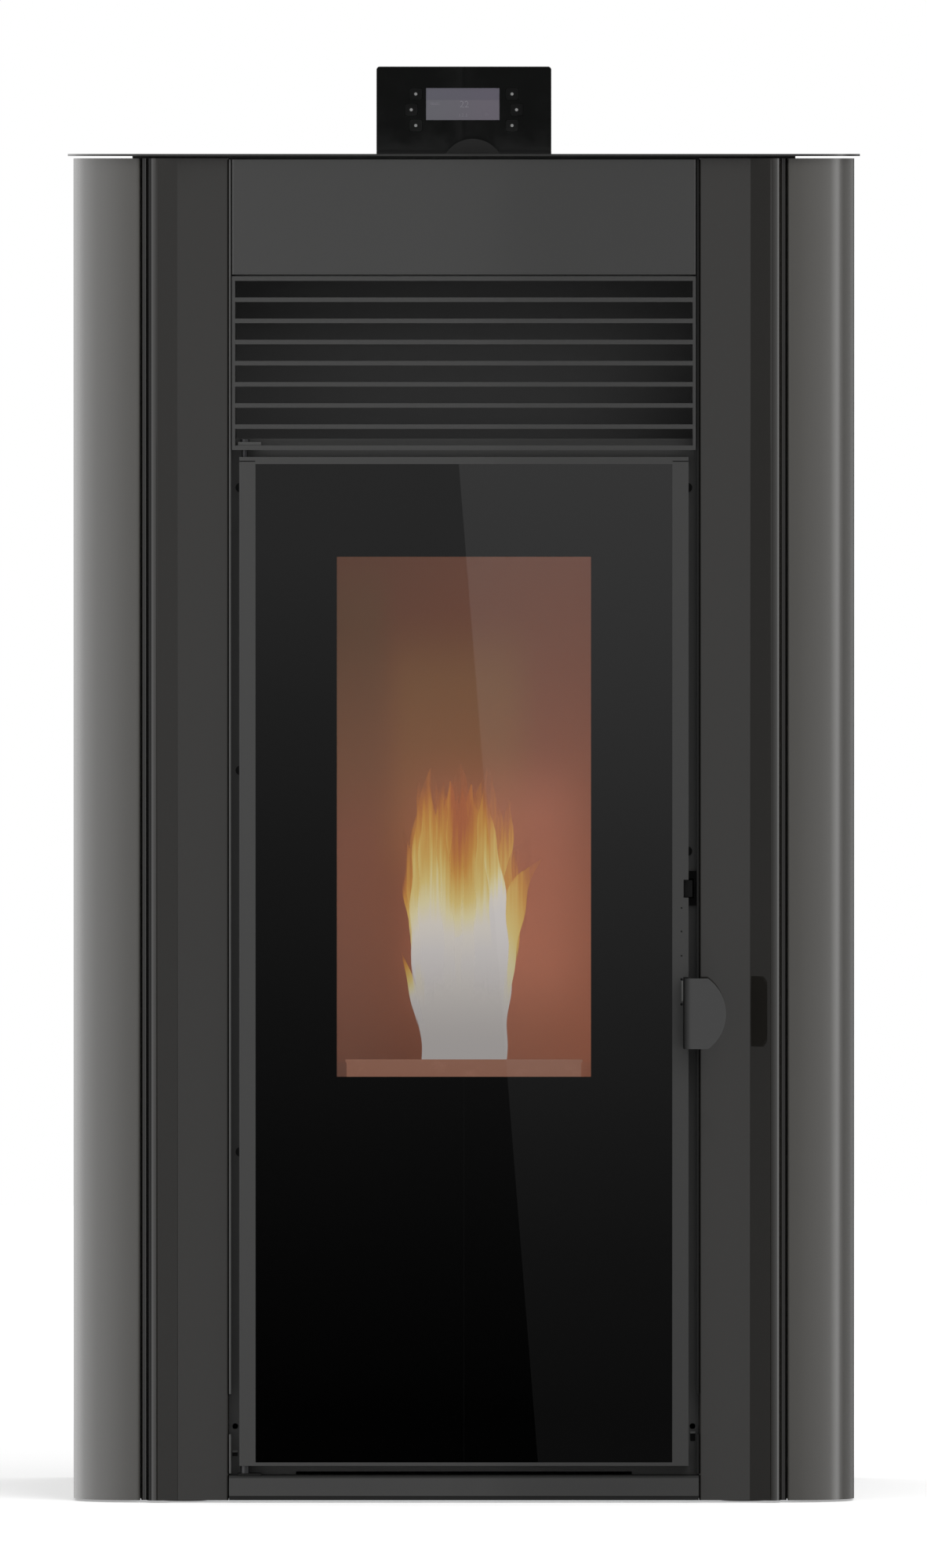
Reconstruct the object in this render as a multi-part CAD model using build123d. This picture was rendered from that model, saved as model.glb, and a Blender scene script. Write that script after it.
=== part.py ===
"""Pellet stove: a warm-air room heater that burns wood pellets, as an assembly of its pieces.

Millimetres, +Z up, +X to the right seen from the front, -Y towards the viewer. The origin is
the bottom centre of the whole stove. The pieces are drawn with y = 0 at the front face of the
upper front panel, and save() moves each of them to the stove's own frame.
"""
import os
from math import radians, sin, tan

from build123d import *

# ---------------------------------------------------------------- driving dimensions
# Cabinet
BODY_WIDTH = 698.0            # across the two side panels
BODY_DEPTH = 640.0            # from the front plane to the rear of the back panel
TOP_SURFACE_Z = 1204.5        # upper face of the top plate
TOP_THICKNESS = 2.0
TOP_OVERHANG = 5.0            # of the top plate past the side panels and the front
COVER_TOP_GAP = 2.0           # between the covers and the top plate
COVER_FLOOR_GAP = 2.0         # between the covers and the floor
COVER_SHEET = 1.5             # thickness of every cover
COVER_BEND = 2.5              # outer radius of a cover's folds
EDGE_FOLD = 1.7               # outer radius of the sharper folds at a pilaster's edges
CORNER_RADIUS = 57.0          # quarter-round front corner of a side panel
CORNER_LAND = 3.0             # flat strip between that corner and its front fold
SIDE_SETBACK = 4.0            # of the side panel's front behind the pilaster's
SIDE_REAR_FLANGE = 38.0
PILASTER_GROOVE = 0.8         # between the pilaster and the side panel
PILASTER_FACE_SETBACK = 4.0   # of its flat face behind the door frame's plane
RIB_WIDTH = 26.7              # of the raised rib along the pilaster's outer edge
RIB_TILT = 29.0               # of the rib's inner slope
RIB_ROUND = 8.0
RIB_LEDGE_WIDTH = 5.5         # ledge between the rib and the groove
RIB_LEDGE_SETBACK = 10.0
RIB_FOLD = 2.0                # radius of the small folds beside the rib
CORNER_NOTCH_HEIGHT = 7.0     # in the back panel's side edges
CORNER_NOTCH_DEPTH = 2.0
NOTCH_FROM_TOP = 59.0
NOTCH_FROM_BOTTOM = 88.0
BACK_PROUD = 1.0              # of the back panel past the side panels
BACK_THICKNESS = 2.0

# Chassis
CHASSIS_SHEET = 2.0
SIDE_SPACE = 53.0             # between a side frame and its side panel's outer face
FRAME_SETBACK = 22.3          # front frame's face behind the front plane
FRAME_BOTTOM_Z = 3.0
BASE_TOP_Z = 22.0
BASE_RIM = 10.0
SIDE_FRAME_FLANGE = 18.0
SIDE_FRAME_GAP = 0.1          # between a side frame's flange and the back panel
FLANGE_THICKNESS = 1.7        # of the two flanges beside the door
FLANGE_SETBACK = 2.0
FLANGE_CLEARANCE = 0.3        # to the pilaster beside it
FLANGE_WINDOW_HEIGHT = 36.0
FLANGE_WINDOW_LIFT = 28.0     # of that window above the door's lower edge
FRAME_HOLE_RADIUS = 2.6
FRAME_HOLE_LIFT = 34.6
AIR_SLOT_WIDTH = 300.0
AIR_SLOT_HEIGHT = 3.0
AIR_SLOT_DROP = 8.8           # of its lower edge below the door

# Fire door
DOOR_WIDTH = 401.0
DOOR_HEIGHT = 901.0
DOOR_BOTTOM_Z = 33.0
DOOR_PROUD = 2.0              # of the door past the front plane
DOOR_DEPTH = 18.0
DOOR_SIDE_GAP = 7.5
STILE_WIDTH = 14.5
TOP_RAIL = 6.3
BOTTOM_RAIL = 3.0
GLASS_THICKNESS = 5.0
GLASS_RECESS = 1.0
GLASS_REBATE = 1.5            # how far the frame's lip covers the glass
GLASS_CLEARANCE = 0.3
WINDOW_WIDTH = 227.0          # clear part of the glass
WINDOW_HEIGHT = 464.5
WINDOW_BOTTOM_Z = 380.5
WINDOW_MARGIN = 4.5           # of the back plate's opening round the clear part
BACK_PLATE_THICKNESS = 3.0
TAPE_THICKNESS = 2.0
TAPE_WIDTH = 12.0
ROPE_WIDTH = 12.0
ROPE_CORNER = 26.0
ROPE_OVERLAP = 12.0           # from an opening's edge to the middle of its rope
SEAL_CLEARANCE = 0.3

# Hinges
PIN_RADIUS = 2.5
PIN_CLEARANCE = 0.05
PIN_HEAD_RADIUS = 4.0
PIN_HEAD_HEIGHT = 2.5
PIN_ENGAGEMENT = 12.0
HINGE_INSET = 5.0             # of the axis from the door's left edge
HINGE_DEPTH = 8.0             # of the axis behind the front plane
BRACKET_THICKNESS = 3.0
BRACKET_WIDTH = 20.6
BRACKET_REACH = 6.1           # of the bracket past the axis, to the left
BRACKET_SETBACK = 3.0
TOP_PIN_GAP = 10.3            # between the door and the upper bracket
BOTTOM_PIN_GAP = 7.0
DOOR_REST_GAP = 0.3

# Latch and handle
ROD_RADIUS = 3.5
ROD_INSET = 6.5               # of the rod's axis from the door's right edge
ROD_DEPTH = 7.0
ROD_CLEARANCE = 0.05
ROD_END = 6.0                 # of the rod past the handle and the hook
HANDLE_REACH = 34.0           # of the handle in front of the pilasters
HANDLE_SHEET = 2.0
HANDLE_HEIGHT = 63.0
HANDLE_WIDTH = 37.4
HANDLE_STRAIGHT = 21.3        # straight part of its top and bottom edges
HANDLE_BOTTOM_Z = 406.0
HANDLE_BEND = 5.0
HANDLE_OFFSET = 2.4           # of its stem from the rod's axis
HANDLE_TAIL = 2.0
NOTCH_CLEARANCE = 0.5
HOOK_BOTTOM_Z = 541.0
HOOK_HEIGHT = 15.0
HOOK_OFFSET = 7.0             # of the hook's arm from the rod's axis
HOOK_THICKNESS = 3.0
HOOK_REACH = 21.5
HOOK_NOSE = 4.0
SLOT_CLEARANCE = 1.2          # round the hook
SLOT_BEHIND_NOSE = 1.0
KEEPER_THICKNESS = 2.5
KEEPER_MARGIN = 8.0

# Front panels
UPPER_PANEL_HEIGHT = 102.6
UPPER_PANEL_DROP = 1.0        # of its top edge below the covers' top
PANEL_GAP = 1.7
PANEL_SIDE_GAP = 1.0
GRILLE_LIFT = 6.2             # of the lowest slat above the door
GRILLE_SIDE = 2.75
SLAT_SPACING = 18.9           # about, and evened out over the grille's height
SLAT_HEIGHT = 4.0
SLAT_DEPTH = 10.0
SLAT_TILT = 12.0
PIN_NOTCH_CLEARANCE = 1.0
PLINTH_TOP_Z = 24.6
PLINTH_BEND = 3.5

# Fire chamber
FIREBOX_WIDTH = 300.0
FIREBOX_DEPTH = 254.0
FIREBOX_BOTTOM_Z = 46.0
FIREBOX_TOP_DROP = 29.0       # of its top below the door's upper edge
FIREBOX_WALL = 4.0
FIRE_OPENING_WIDTH = 256.0
FIRE_OPENING_TOP_GAP = 33.0   # from the firebox's top to the opening
SHELF_Z = 339.0               # upper face of the shelf between fire and ash
OPENING_TO_SHELF = 13.0
ASH_OPENING_BOTTOM_Z = 60.0
ASH_HOLE_WIDTH = 120.0
ASH_HOLE_DEPTH = 120.0
LINING_THICKNESS = 15.0
LINING_HEIGHT = 521.0
LINING_CLEARANCE = 0.3
BAFFLE_THICKNESS = 6.0
BAFFLE_SETBACK = 25.0
SUPPORT_SHEET = 3.0
SUPPORT_HEIGHT = 48.0         # of its top face above the shelf
SUPPORT_SETBACK = 16.0
SUPPORT_DEPTH = 200.0
LEDGE_WIDTH = 212.0
LEDGE_HEIGHT = 8.0            # of the ledge above the support's top
POT_WIDTH = 100.0
POT_DEPTH = 70.0
POT_HEIGHT = 46.0
POT_WALL = 5.0
POT_RIM = 8.0
POT_RIM_THICKNESS = 4.0
POT_CLEARANCE = 0.5
POT_Y = 160.0                 # middle of the pot behind the front plane
POT_HOLE_RADIUS = 3.0
POT_HOLE_PITCH = 17.0
DRAWER_CLEARANCE = 3.0
DRAWER_SHEET = 1.5
DRAWER_HEIGHT = 90.0
DRAWER_REAR_GAP = 14.0
DRAWER_GRIP = 60.0

# Hopper and lid
LID_WIDTH = 340.0
LID_DEPTH = 260.0
LID_FRONT_Y = 290.0
LID_GAP = 1.5
LID_RIM = 10.5
LID_REAR_RIM = 6.0
LID_PIN_RADIUS = 2.0
LID_PIN_INSET = 8.0           # of the pins in front of the lid's rear edge
LID_PIN_DEPTH = 4.5           # of the pins below its surface
LID_PIN_LENGTH = 5.0
LUG_THICKNESS = 3.0
LUG_GAP = 2.3                 # between the lid's rim and a lug
LUG_WIDTH = 16.0
TAB_WIDTH = 49.0
TAB_HEIGHT = 13.6
TAB_X = 8.0
HOPPER_SHEET = 1.5
HOPPER_MARGIN = 8.5           # of the hopper's mouth round the lid's opening
HOPPER_FLANGE = 12.0
HOPPER_STRAIGHT = 200.0
HOPPER_OUTLET_WIDTH = 48.0
HOPPER_OUTLET_DEPTH = 56.0
OUTLET_SETBACK = 48.3         # of the outlet's middle in front of the auger tube's end

# Auger
AUGER_Z = 600.0
AUGER_TUBE_RADIUS = 30.0
AUGER_TUBE_WALL = 2.5
AUGER_TUBE_LENGTH = 200.0
THROAT_HEIGHT = 40.0          # of the hopper's seat above the auger's axis
THROAT_FLANGE = 14.0
THROAT_FLANGE_THICKNESS = 3.0
AUGER_PLATE = 80.0
AUGER_PLATE_THICKNESS = 5.0
SCREW_RADIUS = 24.5
SCREW_PITCH = 40.0
SCREW_BLADE = 3.0
SCREW_SHAFT_RADIUS = 6.0
SCREW_END_GAP = 12.0
SHAFT_CLEARANCE = 0.05
CHUTE_RADIUS = 24.0
CHUTE_START = 38.0            # of its upper end behind the firebox
CHUTE_DROP = 10.0             # of its upper end below the auger's axis
CHUTE_LENGTH = 99.0
CHUTE_CLEARANCE = 0.3
GEARBOX_SIZE = 70.0
GEARBOX_LENGTH = 40.0
GEARMOTOR_RADIUS = 28.0
GEARMOTOR_LENGTH = 55.0
SHAFT_IN_GEARBOX = 20.0

# Igniter
IGNITER_RADIUS = 5.0
IGNITER_Z = 365.0
IGNITER_TIP_GAP = 2.0
IGNITER_FLANGE_RADIUS = 12.0
IGNITER_FLANGE = 4.0
IGNITER_TAIL = 30.0
IGNITER_CLEARANCE = 0.3

# Exhaust fan and flue
FAN_X = -30.0
FAN_Z = 170.0
FAN_RADIUS = 78.0
FAN_DEPTH = 45.0
FAN_WALL = 3.0
FAN_STANDOFF = 22.0           # of the fan's housing behind the firebox
FAN_INLET_RADIUS = 45.0
FAN_INLET_FLANGE = 12.0
FAN_INLET_FLANGE_THICKNESS = 4.0
FAN_OUTLET_SIZE = 96.0
FAN_MOTOR_RADIUS = 42.0
FAN_MOTOR_LENGTH = 55.0
FAN_SHAFT_RADIUS = 5.0
FAN_SHAFT_LENGTH = 57.0
IMPELLER_RADIUS = 65.0
IMPELLER_PLATE = 3.0
IMPELLER_GAP = 4.0
IMPELLER_BLADES = 8
IMPELLER_BLADE_DEPTH = 27.0
IMPELLER_BLADE = 2.0
IMPELLER_HUB_RADIUS = 12.0
IMPELLER_HUB_LENGTH = 17.0
FLUE_RADIUS = 40.0
FLUE_WALL = 1.5
FLUE_SPIGOT_LENGTH = 50.0     # of the free end that a flue pipe slides over
PIPE_STEP = 1.0               # radius of a pipe's inner part over that of its free end
FLUE_REACH = 60.0             # of the flue spigot past the back panel
FLUE_X = 95.0
FLUE_Z = 208.0
FLUE_FLANGE = 6.0
FLUE_FLANGE_THICKNESS = 3.0
AIR_PIPE_RADIUS = 25.0
AIR_PIPE_WALL = 1.5
AIR_PIPE_REACH = 40.0
AIR_SPIGOT_LENGTH = 30.0
AIR_PIPE_Z = 309.0
PIPE_HOLE_CLEARANCE = 2.0     # round a pipe in the back panel

# Room-air fan and duct
BLOWER_X = -30.0
BLOWER_Y = 500.0
BLOWER_WIDTH = 200.0
BLOWER_DEPTH = 120.0
BLOWER_HEIGHT = 112.0
BLOWER_SHEET = 2.0
BLOWER_OPENING_MARGIN = 20.0
ROTOR_RADIUS = 42.0
ROTOR_END_GAP = 10.0
ROTOR_DISC = 2.0
ROTOR_BLADES = 16
ROTOR_BLADE = 1.5
ROTOR_BLADE_DEPTH = 12.0
ROTOR_SHAFT_RADIUS = 4.0
ROTOR_SHAFT_IN_MOTOR = 24.0
BLOWER_MOTOR_RADIUS = 35.0
BLOWER_MOTOR_LENGTH = 60.0
DUCT_SHEET = 1.5
DUCT_DEPTH = 126.0
GRILLE_OPENING_WIDTH = 408.0
GRILLE_OPENING_LIFT = 10.0    # above the grille's lower edge
GRILLE_OPENING_DROP = 4.0     # below the grille's upper edge
DUCT_INLET_MARGIN = 6.0

# Electrics
BOARD_STANDOFF = 10.0
BOARD_THICKNESS = 2.0
BOARD_WIDTH = 140.0
BOARD_HEIGHT = 150.0
BOARD_Y = 490.0
BOARD_Z = 405.0
TRANSFORMER_DEPTH = 32.0      # out from the board
TRANSFORMER_WIDTH = 48.0
TRANSFORMER_HEIGHT = 38.0
BOARD_PART_MARGIN = 12.0      # from the board's edges to the parts on it
RELAY_DEPTH = 18.0
RELAY_WIDTH = 28.0
RELAY_HEIGHT = 30.0
RELAY_LIFT = 70.0             # above the board's lower edge
TERMINAL_DEPTH = 14.0
TERMINAL_WIDTH = 16.0
TERMINAL_INSET = 6.0          # of the terminal strip from the board's rear edge
CAPACITOR_RADIUS = 6.0
CAPACITOR_LENGTH = 22.0
CAPACITOR_COUNT = 4
CAPACITOR_INSET = 76.0        # from the board's front edge
CAPACITOR_PITCH = 24.0
INLET_X = -190.0
INLET_Z = 120.0
INLET_WIDTH = 28.0
INLET_HEIGHT = 22.0
INLET_DEPTH = 28.0
INLET_WALL = 3.0
INLET_PIN = 2.0
INLET_FLANGE = 3.5
INLET_FLANGE_THICKNESS = 2.5
ROCKER_RADIUS = 10.2
ROCKER_WIDTH = 12.0
ROCKER_FACE = 6.0             # of its flat face from its pivot
ROCKER_CLEARANCE = 0.3
ROCKER_TILT = 10.0
ROCKER_PIN_RADIUS = 1.5
ROCKER_PIN_LENGTH = 2.0
ROCKER_WALL = 3.0

# Control panel
PANEL_WIDTH = 158.7
PANEL_HEIGHT = 76.3
PANEL_FRONT_Y = 575.0
PANEL_LIFT = 3.0              # of the panel above the top plate
PANEL_DEPTH = 15.0
FASCIA_THICKNESS = 2.0
PANEL_WALL = 2.5
PANEL_FOOT = 10.5             # solid strip along the housing's lower edge
PANEL_CORNER = 3.0
PIVOT_DEPTH = 11.0            # of the pivot behind the panel's front
PIVOT_HEIGHT = 4.5            # of the pivot above the panel's lower edge
PIVOT_X = 61.0
EAR_THICKNESS = 6.0
EAR_RADIUS = 4.5
EAR_CLEARANCE = 0.5
EAR_SIDE_GAP = 2.0
BRACKET_BASE = 1.2
BRACKET_LIP_THICKNESS = 3.0
BRACKET_LIP_HEIGHT = 2.8
BRACKET_LIP_GAP = 1.5
SCREEN_WIDTH = 67.1
SCREEN_HEIGHT = 29.5
SCREEN_X = -1.0
SCREEN_LIFT = 42.3            # of its middle above the panel's lower edge
SCREEN_RECESS = 0.6
SCREEN_CLEARANCE = 0.2
BOARD_GAP = 3.4               # between the fascia and the panel's board
PANEL_BOARD = 1.6
BOARD_EDGE_GAP = 1.0
POST_RADIUS = 3.0
KEY_WIDTH = 11.7
KEY_HEIGHT = 11.2
KEY_CORNER = 2.0
KEY_CLEARANCE = 0.2
KEY_PROUD = 0.4
KEY_REST_GAP = 0.8            # behind a key, which travels 0.1 less
KEY_PITCH_Z = 14.3
KEYS_LIFT = 37.1              # of the middle keys above the panel's lower edge
KEY_OUTER_X = 43.7            # top and bottom keys
KEY_MIDDLE_X = 47.8

# Feet and screws
FOOT_RADIUS = 20.0
FOOT_HEIGHT = 8.0
FOOT_INSET = 46.0             # of the foot's axis from the side frame
FOOT_FRONT_Y = 60.0
FOOT_REAR_GAP = 40.0
STUD_RADIUS = 4.0
STUD_TOP_Z = 40.0
STUD_CLEARANCE = 0.05
FOOT_NUT_RADIUS = 8.0
FOOT_NUT_HEIGHT = 6.0
BOSS_RADIUS = 9.0
BOSS_HEIGHT = 12.0
FRAME_SCREW_RADIUS = 4.2
FRAME_SCREW_INSET = 0.7          # of their middle behind the door's edge
FRAME_SCREW_HEAD = 1.8
FRAME_SCREWS_LEFT_Z = (312.9, 653.8, 906.5)
FRAME_SCREWS_RIGHT_Z = (581.7, 906.5)
BACK_SCREW_RADIUS = 4.0
BACK_SCREW_HEAD = 2.2
BACK_SCREW_ROWS = 5
BACK_SCREW_INSET = 12.0
VENT_COUNT = 9
VENT_WIDTH = 90.0
VENT_HEIGHT = 4.0
VENT_PITCH = 12.0
VENT_Z = 420.0
VENT_X = 180.0

# ---------------------------------------------------------------- worked-out places
FRONT_Y = (HANDLE_REACH - BODY_DEPTH - FLUE_REACH) / 2
BODY_HALF = BODY_WIDTH / 2
TOP_UNDER_Z = TOP_SURFACE_Z - TOP_THICKNESS
COVER_TOP_Z = TOP_UNDER_Z - COVER_TOP_GAP
COVER_BOTTOM_Z = COVER_FLOOR_GAP
BACK_FRONT_Y = BODY_DEPTH - BACK_THICKNESS
CHASSIS_HALF = BODY_HALF - SIDE_SPACE
FRAME_REAR_Y = FRAME_SETBACK + CHASSIS_SHEET
SIDE_PANEL_INNER_X = BODY_HALF - CORNER_RADIUS - CORNER_LAND
DOOR_HALF = DOOR_WIDTH / 2
DOOR_TOP_Z = DOOR_BOTTOM_Z + DOOR_HEIGHT
FLANGE_X = DOOR_HALF + DOOR_SIDE_GAP
PILASTER_INNER_X = FLANGE_X + FLANGE_THICKNESS + FLANGE_CLEARANCE
PILASTER_OUTER_X = SIDE_PANEL_INNER_X - PILASTER_GROOVE
UPPER_PANEL_TOP_Z = COVER_TOP_Z - UPPER_PANEL_DROP
UPPER_PANEL_BOTTOM_Z = UPPER_PANEL_TOP_Z - UPPER_PANEL_HEIGHT
GRILLE_TOP_Z = UPPER_PANEL_BOTTOM_Z - PANEL_GAP
GRILLE_BOTTOM_Z = DOOR_TOP_Z + GRILLE_LIFT
FRONT_PANEL_HALF = FLANGE_X - PANEL_SIDE_GAP
GLASS_OPENING_HALF = DOOR_HALF - STILE_WIDTH
GLASS_FRONT_Y = GLASS_RECESS - DOOR_PROUD
GLASS_REAR_Y = GLASS_FRONT_Y + GLASS_THICKNESS
BACK_PLATE_Y = GLASS_REAR_Y + TAPE_THICKNESS
ROPE_FRONT_Y = BACK_PLATE_Y + BACK_PLATE_THICKNESS
HINGE_X = HINGE_INSET - DOOR_HALF
ROD_X = DOOR_HALF - ROD_INSET
FIREBOX_HALF = FIREBOX_WIDTH / 2
FIREBOX_REAR_Y = FRAME_REAR_Y + FIREBOX_DEPTH
FIREBOX_TOP_Z = DOOR_TOP_Z - FIREBOX_TOP_DROP
FIREBOX_FLOOR_Z = FIREBOX_BOTTOM_Z + FIREBOX_WALL
FIREBOX_INNER_HALF = FIREBOX_HALF - FIREBOX_WALL
FIREBOX_INNER_REAR_Y = FIREBOX_REAR_Y - FIREBOX_WALL
FIRE_OPENING_HALF = FIRE_OPENING_WIDTH / 2
FIRE_OPENING_BOTTOM_Z = SHELF_Z + OPENING_TO_SHELF
FIRE_OPENING_TOP_Z = FIREBOX_TOP_Z - FIRE_OPENING_TOP_GAP
ASH_OPENING_TOP_Z = SHELF_Z - FIREBOX_WALL - OPENING_TO_SHELF
SUPPORT_TOP_Z = SHELF_Z + SUPPORT_HEIGHT
LINING_TOP_Z = SHELF_Z + LINING_HEIGHT
LINING_INNER_HALF = FIREBOX_INNER_HALF - LINING_THICKNESS
HOPPER_SEAT_Z = AUGER_Z + THROAT_HEIGHT
AUGER_END_Y = FIREBOX_REAR_Y + AUGER_TUBE_LENGTH
OUTLET_Y = AUGER_END_Y - OUTLET_SETBACK
LID_REAR_Y = LID_FRONT_Y + LID_DEPTH
LID_PIN_Y = LID_REAR_Y - LID_PIN_INSET
LID_PIN_Z = TOP_SURFACE_Z - LID_PIN_DEPTH
FAN_FRONT_Y = FIREBOX_REAR_Y + FAN_STANDOFF
FAN_REAR_Y = FAN_FRONT_Y + FAN_DEPTH
ROTOR_Z = BASE_TOP_Z + BLOWER_HEIGHT / 2
PANEL_BOTTOM_Z = TOP_SURFACE_Z + PANEL_LIFT
PANEL_TOP_Z = PANEL_BOTTOM_Z + PANEL_HEIGHT
SCREEN_Z = PANEL_BOTTOM_Z + SCREEN_LIFT
KEY_MIDDLE_Z = PANEL_BOTTOM_Z + KEYS_LIFT
PANEL_REAR_Y = PANEL_FRONT_Y + PANEL_DEPTH
FASCIA_REAR_Y = PANEL_FRONT_Y + FASCIA_THICKNESS
PANEL_BOARD_Y = FASCIA_REAR_Y + BOARD_GAP
PIVOT_Y = PANEL_FRONT_Y + PIVOT_DEPTH
PIVOT_Z = PANEL_BOTTOM_Z + PIVOT_HEIGHT
SWITCH_X = INLET_X + INLET_WIDTH / 2 + INLET_FLANGE + ROCKER_WALL + ROCKER_WIDTH / 2
KEYS = {
    "key_1": (-KEY_OUTER_X, 1), "key_2": (-KEY_MIDDLE_X, 0), "key_3": (-KEY_OUTER_X, -1),
    "key_4": (KEY_OUTER_X, 1), "key_5": (KEY_MIDDLE_X, 0), "key_6": (KEY_OUTER_X, -1),
}


# ---------------------------------------------------------------- drawing helpers
def block(x0, x1, y0, y1, z0, z1):
    """A box between two corners."""
    return Pos((x0 + x1) / 2, (y0 + y1) / 2, (z0 + z1) / 2) * Box(x1 - x0, y1 - y0, z1 - z0)


def wide_block(half_width, y0, y1, z0, z1, x=0.0):
    """A box that reaches half_width to both sides of x."""
    return block(x - half_width, x + half_width, y0, y1, z0, z1)


def rod_x(radius, y, z, x0, x1):
    return Pos((x0 + x1) / 2, y, z) * Rot(0, 90, 0) * Cylinder(radius, x1 - x0)


def rod_y(radius, x, z, y0, y1):
    return Pos(x, (y0 + y1) / 2, z) * Rot(90, 0, 0) * Cylinder(radius, y1 - y0)


def rod_z(radius, x, y, z0, z1):
    return Pos(x, y, (z0 + z1) / 2) * Cylinder(radius, z1 - z0)


def mirrored(shape):
    """The same shape on the other side of the stove."""
    return mirror(shape, about=Plane.YZ)


def folded_sheet(corners, bends, thickness, bottom_z, top_z):
    """A folded sheet that stands upright: its outer face follows the corners in plan, each
    rounded to its bend radius, and its thickness lies to the left of that line."""
    places = [Vector(x, y) for x, y in corners]
    runs = [(b - a).normalized() for a, b in zip(places, places[1:])]
    sides = [Vector(-run.Y, run.X) for run in runs]
    inner = [places[0] + sides[0] * thickness]
    inner_bends = []
    for place, before, after, run, bend in zip(places[1:], sides, sides[1:], runs[1:], bends):
        inner.append(place + (before + after) * (thickness / (1 + before.dot(after))))
        turns_left = before.dot(run) > 0
        inner_bends.append(bend - thickness if turns_left else bend + thickness)
    inner.append(places[-1] + sides[-1] * thickness)
    outer_line = FilletPolyline(*places, radius=list(bends))
    inner_line = FilletPolyline(*inner, radius=inner_bends)
    ends = [Line(places[0], inner[0]), Line(places[-1], inner[-1])]
    outline = make_face([*outer_line.edges(), *inner_line.edges(), *ends])
    return Pos(0, 0, bottom_z) * extrude(outline, top_z - bottom_z)


def tray(half_width, y0, y1, z0, z1, wall):
    """A box with four walls and a floor, open at the top."""
    return wide_block(half_width, y0, y1, z0, z1) - wide_block(
        half_width - wall, y0 + wall, y1 - wall, z0 + wall, z1)


def save(name, *pieces):
    """Write one node: its pieces, each a solid, in the stove's own frame."""
    solids = [solid for piece in pieces for solid in piece.solids()]
    shape = solids[0] if len(solids) == 1 else Compound(children=solids)
    export_step(shape.moved(Location((0, FRONT_Y, 0))), f"parts/{name}.step")


# ---------------------------------------------------------------- chassis
def foot_places():
    x, front_y, rear_y = CHASSIS_HALF - FOOT_INSET, FOOT_FRONT_Y, BODY_DEPTH - FOOT_REAR_GAP
    return {
        "foot_front_left": (-x, front_y), "foot_front_right": (x, front_y),
        "foot_rear_left": (-x, rear_y), "foot_rear_right": (x, rear_y),
    }


def base_plate():
    bottom_z = BASE_TOP_Z - CHASSIS_SHEET
    plate = wide_block(CHASSIS_HALF, FRAME_REAR_Y, BACK_FRONT_Y, bottom_z, BASE_TOP_Z)
    rim = block(CHASSIS_HALF - CHASSIS_SHEET, CHASSIS_HALF, FRAME_REAR_Y, BACK_FRONT_Y,
                bottom_z - BASE_RIM, bottom_z)
    plate += [rim, mirrored(rim)]
    for x, y in foot_places().values():
        plate += rod_z(BOSS_RADIUS, x, y, BASE_TOP_Z, BASE_TOP_Z + BOSS_HEIGHT)
        plate -= rod_z(STUD_RADIUS + STUD_CLEARANCE, x, y, 0, TOP_SURFACE_Z)
    return plate


def foot(x, y):
    pad = rod_z(FOOT_RADIUS, x, y, 0, FOOT_HEIGHT)
    pad = chamfer(pad.edges().group_by(Axis.Z)[-1], FOOT_HEIGHT / 3)
    nut = Pos(x, y, FOOT_HEIGHT) * extrude(RegularPolygon(FOOT_NUT_RADIUS, 6), FOOT_NUT_HEIGHT)
    return pad + nut + rod_z(STUD_RADIUS, x, y, FOOT_HEIGHT, STUD_TOP_Z)


def latch_slot(y0, y1):
    """The opening in frame and keeper that the hook goes through."""
    hook_right = ROD_X + HOOK_OFFSET + HOOK_THICKNESS
    hook_left = ROD_X + HOOK_OFFSET - HOOK_NOSE
    return block(hook_left - SLOT_BEHIND_NOSE, hook_right + SLOT_CLEARANCE, y0, y1,
                 HOOK_BOTTOM_Z - SLOT_CLEARANCE, HOOK_BOTTOM_Z + HOOK_HEIGHT + SLOT_CLEARANCE)


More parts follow.
